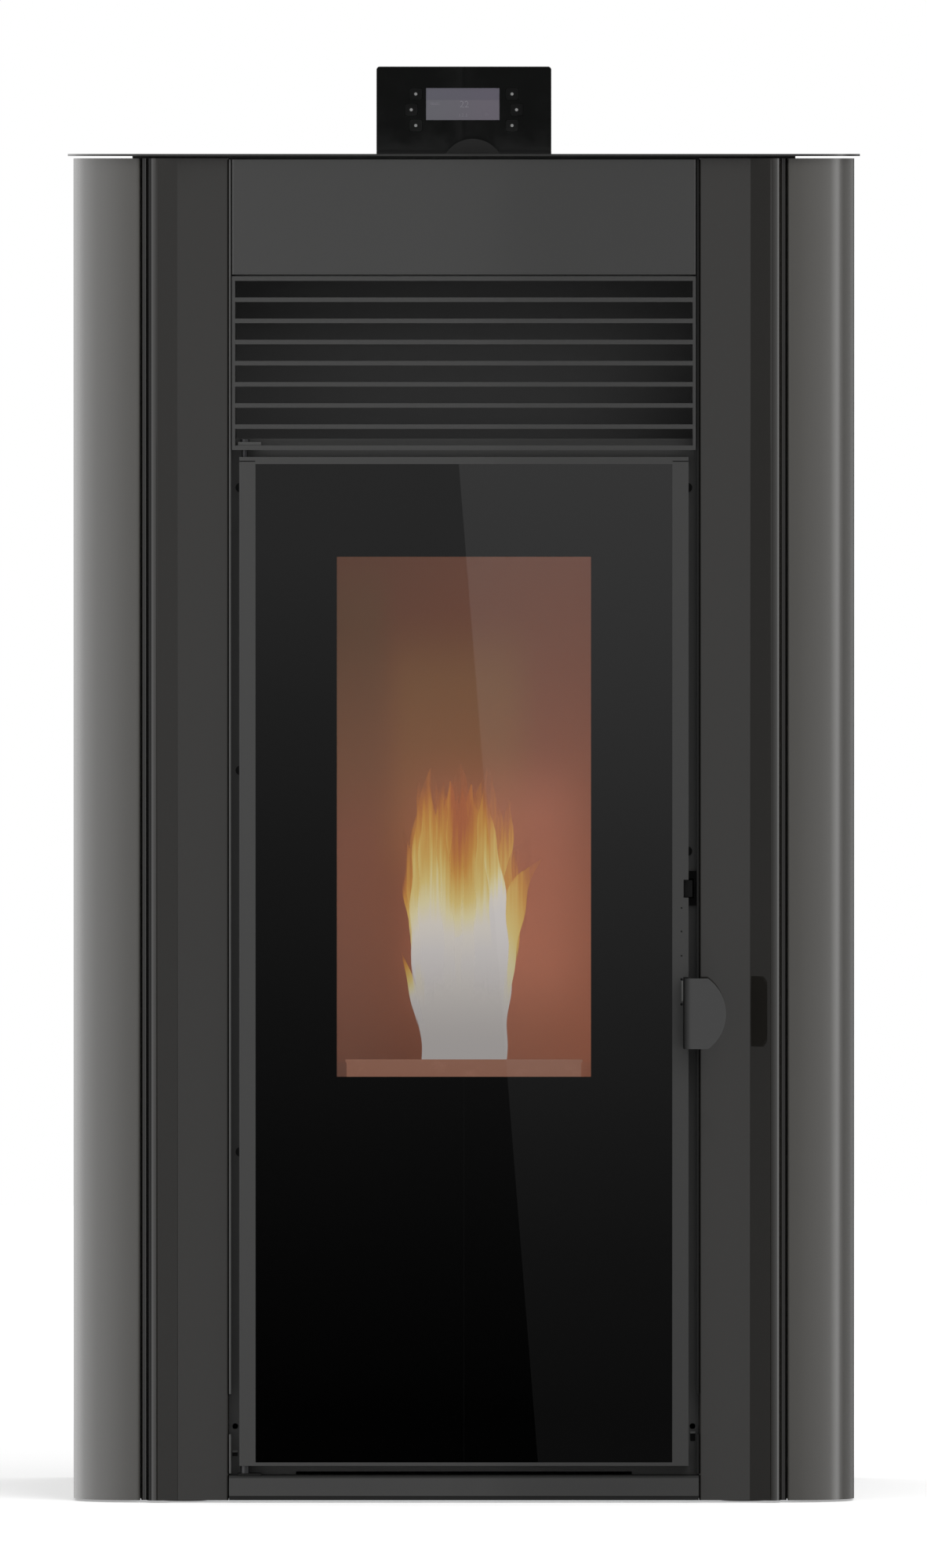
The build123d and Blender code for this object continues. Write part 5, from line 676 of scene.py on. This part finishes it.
# each tongue: how far behind the pot's middle (below 0 is in front), its coolness, and its points
TONGUES = [
    (-0.030, (-0.15, 1.0), [
        (541, 1280, 26), (538, 1200, 30), (537, 1130, 27), (538, 1060, 20), (537, 1026, 12), (534, 996, 1),
    ]),
    (-0.038, (-0.15, 0.95), [
        (553, 1270, 30), (550, 1190, 32), (547, 1120, 28), (546, 1060, 22), (547, 1024, 13), (545, 992, 1),
    ]),
    (-0.026, (-0.1, 1.0), [
        (567, 1270, 32), (563, 1180, 32), (560, 1110, 28), (560, 1060, 20), (563, 1026, 12), (566, 996, 1),
    ]),
    (-0.014, (0.0, 1.0), [
        (583, 1250, 30), (583, 1160, 28), (585, 1100, 26), (588, 1040, 20), (588, 1000, 1),
    ]),
    (-0.024, (-0.1, 1.0), [
        (603, 1270, 32), (604, 1180, 31), (604, 1110, 26), (603, 1060, 19), (606, 1002, 1),
    ]),
    (-0.036, (-0.2, 1.0), [
        (620, 1280, 34), (622, 1190, 35), (620, 1120, 29), (617, 1065, 20), (618, 998, 1),
    ]),
    (-0.038, (-0.55, 1.0), [
        (634, 1280, 27), (634, 1190, 28), (630, 1125, 26), (624, 1070, 17), (620, 1010, 1),
    ]),
    (-0.010, (0.14, 0.66), [
        (644, 1290, 8), (648, 1240, 14), (652, 1190, 24), (658, 1146, 29), (669, 1118, 22),
        (680, 1105, 11), (691, 1095, 1),
    ]),
    (-0.004, (0.3, 0.95), [(642, 1240, 16), (646, 1170, 22), (650, 1120, 20), (656, 1080, 1)]),
    (0.000, (0.45, 1.0), [(652, 1230, 12), (660, 1160, 18), (668, 1124, 14), (676, 1090, 1)]),
    (-0.024, (0.1, 0.95), [
        (537, 1290, 10), (532, 1200, 15), (525, 1130, 15), (520, 1092, 9), (514, 1052, 1),
    ]),
    (-0.012, (0.2, 0.9), [(530, 1200, 13), (520, 1142, 11), (511, 1112, 1)]),
    (-0.022, (-0.3, 0.8), [(537, 1312, 8), (530, 1276, 11), (522, 1248, 9), (512, 1214, 1)]),
    (-0.002, (0.2, 0.8), [
        (576, 1210, 34), (577, 1140, 32), (577, 1080, 26), (575, 1032, 16), (574, 996, 1),
    ]),
    (-0.006, (0.25, 0.85), [
        (586, 1210, 26), (587, 1150, 24), (588, 1090, 20), (589, 1040, 13), (590, 1006, 1),
    ]),
    (0.002, (0.2, 0.8), [
        (597, 1210, 34), (598, 1140, 32), (599, 1080, 26), (600, 1034, 15), (601, 1000, 1),
    ]),
    (0.012, (0.5, 1.0), [(640, 1150, 24), (643, 1110, 22), (646, 1060, 16), (650, 1020, 1)]),
    (0.016, (0.7, 1.0), [(548, 1150, 54), (548, 1070, 50), (549, 1030, 36), (550, 978, 2)]),
    (0.020, (0.75, 1.0), [(584, 1150, 54), (584, 1060, 46), (585, 1012, 30), (586, 974, 2)]),
    (0.018, (0.7, 1.0), [(616, 1150, 56), (618, 1070, 50), (620, 1028, 36), (622, 978, 2)]),
    (0.018, (0.7, 1.0), [(648, 1190, 44), (656, 1130, 40), (664, 1096, 28), (676, 1066, 2)]),
]
tongues = bmesh.new()
for shift, coolness, points in TONGUES:
    tongue(tongues, points, POT_DEPTH + shift, coolness)
piece("fire_tongues", tongues, fire("fire_yellow", 0.8), "pot")


TILT, FULL_TURN = 0.7, 6.283


def repeated(name, copy, places, seed, material, body):
    """Copies set on many points, each turned its own way, as one plain mesh."""
    host_mesh = bpy.data.meshes.new(name)
    host_mesh.from_pydata([tuple(place) for place in places], [], [])
    host = bpy.data.objects.new(name + "_points", host_mesh)
    bpy.context.scene.collection.objects.link(host)
    tree = bpy.data.node_groups.new(name + "_spread", "GeometryNodeTree")
    face = tree.interface
    face.new_socket("Points", in_out="INPUT", socket_type="NodeSocketGeometry")
    face.new_socket("Copy", in_out="INPUT", socket_type="NodeSocketObject")
    face.new_socket("Seed", in_out="INPUT", socket_type="NodeSocketInt")
    face.new_socket("Copies", in_out="OUTPUT", socket_type="NodeSocketGeometry")
    way_in, way_out = tree.nodes.new("NodeGroupInput"), tree.nodes.new("NodeGroupOutput")
    source = tree.nodes.new("GeometryNodeObjectInfo")
    turn = tree.nodes.new("FunctionNodeRandomValue")
    turn.data_type = "FLOAT_VECTOR"
    turn.inputs[0].default_value = (-TILT, -TILT, 0.0)
    turn.inputs[1].default_value = (TILT, TILT, FULL_TURN)
    spread = tree.nodes.new("GeometryNodeInstanceOnPoints")
    real = tree.nodes.new("GeometryNodeRealizeInstances")
    painted = tree.nodes.new("GeometryNodeSetMaterial")
    painted.inputs["Material"].default_value = material
    for start, end in (
        (way_in.outputs["Points"], spread.inputs["Points"]),
        (way_in.outputs["Copy"], source.inputs["Object"]),
        (way_in.outputs["Seed"], turn.inputs["Seed"]),
        (source.outputs["Geometry"], spread.inputs["Instance"]),
        (turn.outputs[0], spread.inputs["Rotation"]),
        (spread.outputs["Instances"], real.inputs["Geometry"]),
        (real.outputs["Geometry"], painted.inputs["Geometry"]),
        (painted.outputs["Geometry"], way_out.inputs["Copies"]),
    ):
        tree.links.new(start, end)
    maker = host.modifiers.new("spread", "NODES")
    maker.node_group = tree
    sockets = {item.name: item.identifier for item in face.items_tree if item.in_out == "INPUT"}
    maker[sockets["Copy"]] = copy
    maker[sockets["Seed"]] = seed
    bpy.context.view_layer.update()
    evaluated = host.evaluated_get(bpy.context.evaluated_depsgraph_get())
    mesh = bpy.data.meshes.new_from_object(evaluated)
    mesh.name = name
    bpy.data.objects.remove(host)
    bpy.data.objects.remove(copy)
    made = bpy.data.objects.new(name, mesh)
    bpy.context.scene.collection.objects.link(made)
    for polygon in mesh.polygons:
        polygon.use_smooth = True
    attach(made, body)


PELLET_OUTLINE = ((-0.0062, 0.0021), (-0.0055, 0.0028), (0.0, 0.003), (0.0055, 0.0028), (0.0062, 0.0021))
PELLET_LAYERS, PELLETS_PER_LAYER = 3, 26
BED_HALF_WIDTH, BED_HALF_DEPTH = 0.036, 0.026
BED_FOOT, LAYER_HEIGHT, LAYER_PLAY = 0.359, 0.0048, 0.001
BED_SEED, TURN_SEED = 11, 3
pellet = bmesh.new()
pellet_turns = [math.pi * i / 4 for i in range(8)]
pellet_rings = [
    [Vector((reach, radius * math.cos(turn), radius * math.sin(turn))) for turn in pellet_turns]
    for reach, radius in PELLET_OUTLINE
]
loft(pellet, pellet_rings)
bmesh.ops.recalc_face_normals(pellet, faces=pellet.faces)
pellet_mesh = bpy.data.meshes.new("pellet")
pellet.to_mesh(pellet_mesh)
pellet.free()
one_pellet = bpy.data.objects.new("pellet", pellet_mesh)
bpy.context.scene.collection.objects.link(one_pellet)
shuffle = random.Random(BED_SEED)
bed = []
for layer in range(PELLET_LAYERS):
    for _ in range(PELLETS_PER_LAYER):
        x = shuffle.uniform(-BED_HALF_WIDTH, BED_HALF_WIDTH)
        y = POT_DEPTH + shuffle.uniform(-BED_HALF_DEPTH, BED_HALF_DEPTH)
        z = BED_FOOT + layer * LAYER_HEIGHT + shuffle.uniform(-LAYER_PLAY, LAYER_PLAY)
        bed.append((x, y, z))
repeated("burning_pellets", one_pellet, bed, TURN_SEED, ember("burning_pellet"), "pot")


# ---------------------------------------------------------------- marks on the panel
def disc(builder, centre, radius, proud, sides=24):
    """A low dome whose flat back lies on a front face."""
    turns = [2 * math.pi * i / sides for i in range(sides)]
    loft(builder, [
        [centre + Vector((reach * math.cos(turn), -rise, reach * math.sin(turn))) for turn in turns]
        for reach, rise in ((radius, 0.0), (radius * 0.8, proud * 0.7), (radius * 0.4, proud))
    ])


DOT_RADIUS, DOT_HEIGHT = 0.0014, 0.00012
dot_glow = glowing("key_mark_glow", tint(132, 132, 132), 1.0)
for number in range(1, 7):
    low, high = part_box(f"key_{number}")
    dot = bmesh.new()
    disc(dot, Vector(((low.x + high.x) / 2, low.y, (low.z + high.z) / 2)), DOT_RADIUS, DOT_HEIGHT)
    piece(f"key_mark_{number}", dot, dot_glow, f"key_button_{number}")


DIGIT_THICKNESS = 0.00004
DIGIT_SHARE = 0.7            # how much of a font's size a digit is high


def lettering(name, text, height, centre, material, body):
    """Plain digits as a thin raised mesh that faces the front."""
    curve = bpy.data.curves.new(name, "FONT")
    curve.body = text
    curve.size = height / DIGIT_SHARE
    curve.extrude = DIGIT_THICKNESS / 2
    curve.align_x = "CENTER"
    curve.align_y = "CENTER"
    words = bpy.data.objects.new(name + "_curve", curve)
    bpy.context.scene.collection.objects.link(words)
    bpy.context.view_layer.update()
    mesh = bpy.data.meshes.new_from_object(words.evaluated_get(bpy.context.evaluated_depsgraph_get()))
    bpy.data.objects.remove(words)
    mesh.transform(Matrix.Translation(centre) @ Matrix.Rotation(math.radians(90), 4, "X"))
    mesh.name = name
    made = bpy.data.objects.new(name, mesh)
    bpy.context.scene.collection.objects.link(made)
    mesh.materials.clear()
    mesh.materials.append(material)
    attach(made, body)


screen_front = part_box("display_screen")[0].y - DIGIT_THICKNESS
digit_glow = glowing("display_digit_glow", tint(116, 114, 121), 1.0)
for name, digits, height, column, row in (
    ("display_digits", "22", 0.0062, 592, 133.5),
    ("display_small_digits", "1 2 3", 0.0028, 590, 147),
    ("display_side_digits", "00:00", 0.0026, 554.5, 132.5),
):
    lettering(name, digits, height, seen(column, row, screen_front), digit_glow, "panel")


# ---------------------------------------------------------------- small things in the door's gaps
def bar(builder, low, high, cut):
    """A small block with its edges cut off."""
    made = bmesh.ops.create_cube(builder, size=1.0)["verts"]
    size = Vector(high) - Vector(low)
    bmesh.ops.scale(builder, vec=size, verts=made)
    bmesh.ops.translate(builder, vec=(Vector(low) + Vector(high)) / 2, verts=made)
    edges = list({edge for vertex in made for edge in vertex.link_edges})
    bmesh.ops.bevel(builder, geom=edges, offset=cut, segments=2, affect="EDGES")


RIVET_COLUMN, RIVET_HEIGHT = 869, 0.00015
RIVETS = ((1158, 0.0008), (1188, 0.0008), (1219, 0.0008), (1249, 0.0011), (1281, 0.0012))
stile_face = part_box("door_frame")[0].y
dots = bmesh.new()
for row, radius in RIVETS:
    disc(dots, seen(RIVET_COLUMN, row, stile_face), radius, RIVET_HEIGHT, 16)
piece("stile_rivets", dots, black_screw, "door")
# painted highlight: a thin light line down the stile beside the handle
line = bmesh.new()
bar(line, seen(869.0, 1277, stile_face - 0.0003), seen(871.2, 1251, stile_face), 0.00005)
piece("stile_guide_line", line, painted_highlight, "door", False)

FRAME_FACE = -0.3107
CAP_HEIGHT, CAP_REACH, SLOT_REACH, INSET = 0.0018, 0.0022, 0.0012, 0.0002
# left and right column, then top and foot row, of each clip with its slot
CLIPS = ((296.2, 303.0, 1850.0, 1857.5), (880.2, 886.6, 1826.0, 1838.0))
# painted highlight on each clip's cap, and a near-black block proud of the frame as painted shadow in its
# slot
caps = bmesh.new()
painted_slot_shadows = bmesh.new()
for left, right, top, foot in CLIPS:
    low, high = seen(left, foot, FRAME_FACE), seen(right, top, FRAME_FACE)
    near, inside = FRAME_FACE - INSET, high.z - 0.0019
    bar(painted_slot_shadows, (low.x, FRAME_FACE - SLOT_REACH, low.z), (high.x, near, inside), 0.0003)
    bar(caps, (low.x, FRAME_FACE - CAP_REACH, high.z - CAP_HEIGHT), (high.x, near, high.z), 0.0004)
piece("gap_clips", caps, painted_highlight, "cabinet", False)
piece("gap_slots", painted_slot_shadows, black_screw, "cabinet", False)

LEDGE_ENDS = ((424.5, 442.0), (741.0, 758.5))
LEDGE_TOP_ROW, LEDGE_FOOT_ROW, LEDGE_PLATE = 1355, 1379, 0.0015
ledge_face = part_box("burn_pot_support")[0].y
ledge_ends = bmesh.new()
for left, right in LEDGE_ENDS:
    low, high = seen(left, LEDGE_FOOT_ROW, ledge_face), seen(right, LEDGE_TOP_ROW, ledge_face)
    bar(ledge_ends, (low.x, ledge_face - LEDGE_PLATE, low.z), (high.x, ledge_face, high.z), 0.0003)
piece("ledge_end_plates", ledge_ends, lining, "cabinet", False)

low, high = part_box("panel_fascia")
foot_seal = bmesh.new()
seal_low = (low.x + 0.0003, high.y + 0.001, low.z - 0.0007)
seal_high = (high.x - 0.0003, high.y + 0.003, low.z + 0.0004)
bar(foot_seal, seal_low, seal_high, 0.0001)
piece("panel_foot_seal", foot_seal, rubber, "panel", False)


# ---------------------------------------------------------------- studio
def plain(name, strength_of):
    """A stage surface that gives off light only."""
    paint = Paint(name)
    lit = paint.wire("ShaderNodeEmission", {}, {"Color": WHITE, "Strength": strength_of(paint)})
    return paint.done(lit)


def stage_mesh(name, corners, faces, material):
    """A surface of the studio, which isn't part of the stove."""
    mesh = bpy.data.meshes.new(name)
    mesh.from_pydata(corners, [], faces)
    made = bpy.data.objects.new(name, mesh)
    bpy.context.scene.collection.objects.link(made)
    mesh.materials.append(material)
    return made


def only_mirrored(card):
    """The card shows in reflections and nowhere else."""
    card.visible_camera = False
    card.visible_diffuse = False
    card.visible_transmission = False
    card.visible_volume_scatter = False
    card.visible_shadow = False


FLAG_Y = -1.9
FASCIA_FOOT = 1.203
PANE_HALF, PANE_HEAD = 0.2, 0.945
FRONT_LEVEL, FASCIA_LEVEL = 0.88, 0.085
# how far a place on the flag lies out from the place on the stove that mirrors it
MIRROR_STRETCH = 1 + (FRONT_Y - FLAG_Y) / CAMERA_DISTANCE
# height up the glass, then the level left and right of the slanting edge
GLASS_LOOK = [
    (0.08, 0.0, 0.08), (0.222, 0.038, 0.13), (0.327, 0.076, 0.20), (0.432, 0.12, 0.29),
    (0.572, 0.20, 0.44), (0.712, 0.31, 0.63), (0.852, 0.46, 0.80), (0.92, 0.485, 0.857),
]


def flag_light(paint):
    """What the flat fronts mirror: a fall-off down the glass with a slanting edge, and an even grey."""
    across = paint.x / MIRROR_STRETCH
    up = (paint.z + (MIRROR_STRETCH - 1) * CAMERA_HEIGHT) / MIRROR_STRETCH
    top, bottom = seen(585, 591), seen(686, 1866)
    slant = top.x + (up - top.z) * ((bottom.x - top.x) / (bottom.z - top.z))
    left = paint.colours(up, [(z, (dark,) * 3) for z, dark, _ in GLASS_LOOK])
    right = paint.colours(up, [(z, (bright,) * 3) for z, _, bright in GLASS_LOOK])
    pane = paint.mix(across > slant, left, right)
    beside = paint.larger(abs(across) > PANE_HALF, up > PANE_HEAD)
    look = paint.mix(beside, pane, (FRONT_LEVEL,) * 3)
    return paint.mix(up > FASCIA_FOOT, look, (FASCIA_LEVEL,) * 3)


WALL_RADIUS, WALL_FOOT, WALL_HEAD = 6.0, -3.0, 6.0
WALL_GAIN = 3.6
HIGH_WALL_Z, HIGH_WALL_LIGHT = 1.8, 0.8
# degrees from the front, then the level there
LEFT_LIGHT = [
    (0, 1.0), (6, 1.1), (28, 1.6), (56, 2.4), (92, 3.1), (122, 2.75), (132, 2.25), (140, 1.85),
    (150, 1.35), (157, 1.1), (163, 0.72), (172, 0.45),
]
RIGHT_LIGHT = [
    (0, 0.42), (4, 0.43), (28, 0.8), (56, 1.2), (74, 1.6), (82, 2.6), (88, 3.4), (93, 3.1),
    (99, 1.2), (105, 0.62), (109, 0.48), (142, 0.52), (151, 0.42), (158, 0.16), (172, 0.12),
]


def wall_light(paint):
    """The soft wall of light round the stove: a level for each angle, held down high up."""
    angle = paint.math("ARCTAN2", abs(paint.x), paint.y * -1.0) / math.pi
    left, right = (
        paint.colours(angle, [(turn / 180, (level / WALL_GAIN,) * 3) for turn, level in levels])
        for levels in (LEFT_LIGHT, RIGHT_LIGHT)
    )
    level = paint.mix(paint.x > 0.0, left, right)
    strength = paint.wire("ShaderNodeSeparateColor", {}, {0: level}) * WALL_GAIN
    plain_light = paint.smaller(strength, HIGH_WALL_LIGHT)
    return strength + (plain_light - strength) * (paint.z > HIGH_WALL_Z)


CARD_FOOT = -0.4
FLAG_HALF, FLAG_HEAD = 0.3, 1.6
DIVIDER_FAR_Y, DIVIDER_NEAR_Y, DIVIDER_HEAD = -1.2, -0.45, 1.4
# side, place and level of the two cards that part the left mirror image from the right one
DIVIDERS = (("left", -0.00004, 0.60), ("right", 0.00004, 0.32))


def upright(name, ends, head, material):
    """An upright card that runs between two places, from under the floor to its head."""
    (x1, y1), (x2, y2) = ends
    corners = [(x1, y1, CARD_FOOT), (x2, y2, CARD_FOOT), (x2, y2, head), (x1, y1, head)]
    return stage_mesh(name, corners, [(0, 1, 2, 3)], material)


flag_ends = ((-FLAG_HALF, FLAG_Y), (FLAG_HALF, FLAG_Y))
flag = upright("front_flag", flag_ends, FLAG_HEAD, plain("front_flag_light", flag_light))
dividers = []
for side, x, level in DIVIDERS:
    even = plain(f"middle_flag_light_{side}", lambda paint, level=level: level)
    ends = ((x, DIVIDER_FAR_Y), (x, DIVIDER_NEAR_Y))
    dividers.append(upright(f"middle_flag_{side}", ends, DIVIDER_HEAD, even))
turns = [math.radians(step) for step in range(-180, 181, 3)]
ring = [
    (WALL_RADIUS * math.sin(turn), -WALL_RADIUS * math.cos(turn), z)
    for turn in turns
    for z in (WALL_FOOT, WALL_HEAD)
]
ring_faces = [(2 * i, 2 * i + 1, 2 * i + 3, 2 * i + 2) for i in range(len(turns) - 1)]
wall = stage_mesh("soft_wall", ring, ring_faces, plain("soft_wall_light", wall_light))
for card in (flag, wall, *dividers):
    only_mirrored(card)

FLOOR_REACH, FLOOR_LIFT = 9, 0.36
floor_paint = Paint("studio_floor")
rays = floor_paint.node("ShaderNodeLightPath")
straight = Wire(floor_paint, rays.outputs["Is Camera Ray"])
pale_base = floor_paint.mix(floor_paint.noise(3.0), (0.86, 0.86, 0.86), (0.88, 0.88, 0.88))
matt = floor_paint.wire("ShaderNodeBsdfDiffuse", {}, {"Color": pale_base})
lift = floor_paint.wire("ShaderNodeEmission", {}, {"Color": WHITE, "Strength": straight * FLOOR_LIFT})
floor_paint.done(floor_paint.wire("ShaderNodeAddShader", {}, {0: matt, 1: lift}))
floor_corners = [(x * FLOOR_REACH, y * FLOOR_REACH, 0) for x, y in ((-1, -1), (1, -1), (1, 1), (-1, 1))]
floor = stage_mesh("studio_floor", floor_corners, [(0, 1, 2, 3)], floor_paint.block)
floor.visible_glossy = False

world = bpy.data.worlds.new("studio")
bpy.context.scene.world = world
sky = Paint("studio", world)
rays = sky.node("ShaderNodeLightPath")
white = sky.larger(Wire(sky, rays.outputs["Is Camera Ray"]), Wire(sky, rays.outputs["Is Glossy Ray"]))
white = sky.larger(white, Wire(sky, rays.outputs["Is Transmission Ray"]))
level = sky.wire("ShaderNodeBackground", {}, {"Color": WHITE, "Strength": 0.8})
bright = sky.wire("ShaderNodeBackground", {}, {"Color": WHITE, "Strength": 1.0})
sky.node("ShaderNodeOutputWorld", {}, {"Surface": sky.blend(white, level, bright)})


def lamp(name, kind, place, aim, energy, size, colour=WHITE):
    """A lamp of the studio that shows neither to the camera nor in reflections."""
    data = bpy.data.lights.new(name, kind)
    data.energy = energy
    data.color = colour
    if kind == "AREA":
        data.size = size
    else:
        data.shadow_soft_size = size
    made = bpy.data.objects.new(name, data)
    bpy.context.scene.collection.objects.link(made)
    made.location = place
    made.rotation_mode = "QUATERNION"
    made.rotation_quaternion = (Vector(aim) - Vector(place)).to_track_quat("-Z", "Y")
    made.visible_camera = False
    made.visible_glossy = False


lamp("soft_key", "AREA", (1.6, -4.2, 3.4), (0, 0, 0.6), energy=110.0, size=3.0)
glow_place = (0.012, POT_DEPTH, 0.53)
lamp("fire_glow", "POINT", glow_place, (0, 0, 0), energy=0.5, size=0.045, colour=(1.0, 0.55, 0.32))

camera = bpy.data.cameras.new("camera")
camera.lens = SENSOR_SIZE * math.hypot(CAMERA_DISTANCE, CAMERA_HEIGHT - CAMERA_AIM) / VIEW_HEIGHT
camera.clip_end = 200.0
eye = bpy.data.objects.new("camera", camera)
bpy.context.scene.collection.objects.link(eye)
eye.location = (CAMERA_X, FRONT_Y - CAMERA_DISTANCE, CAMERA_HEIGHT)
eye.rotation_mode = "QUATERNION"
line_of_sight = Vector((CAMERA_X, FRONT_Y, CAMERA_AIM)) - eye.location
eye.rotation_quaternion = line_of_sight.to_track_quat("-Z", "Y")
bpy.context.scene.camera = eye
bpy.context.scene.view_settings.view_transform = "Standard"
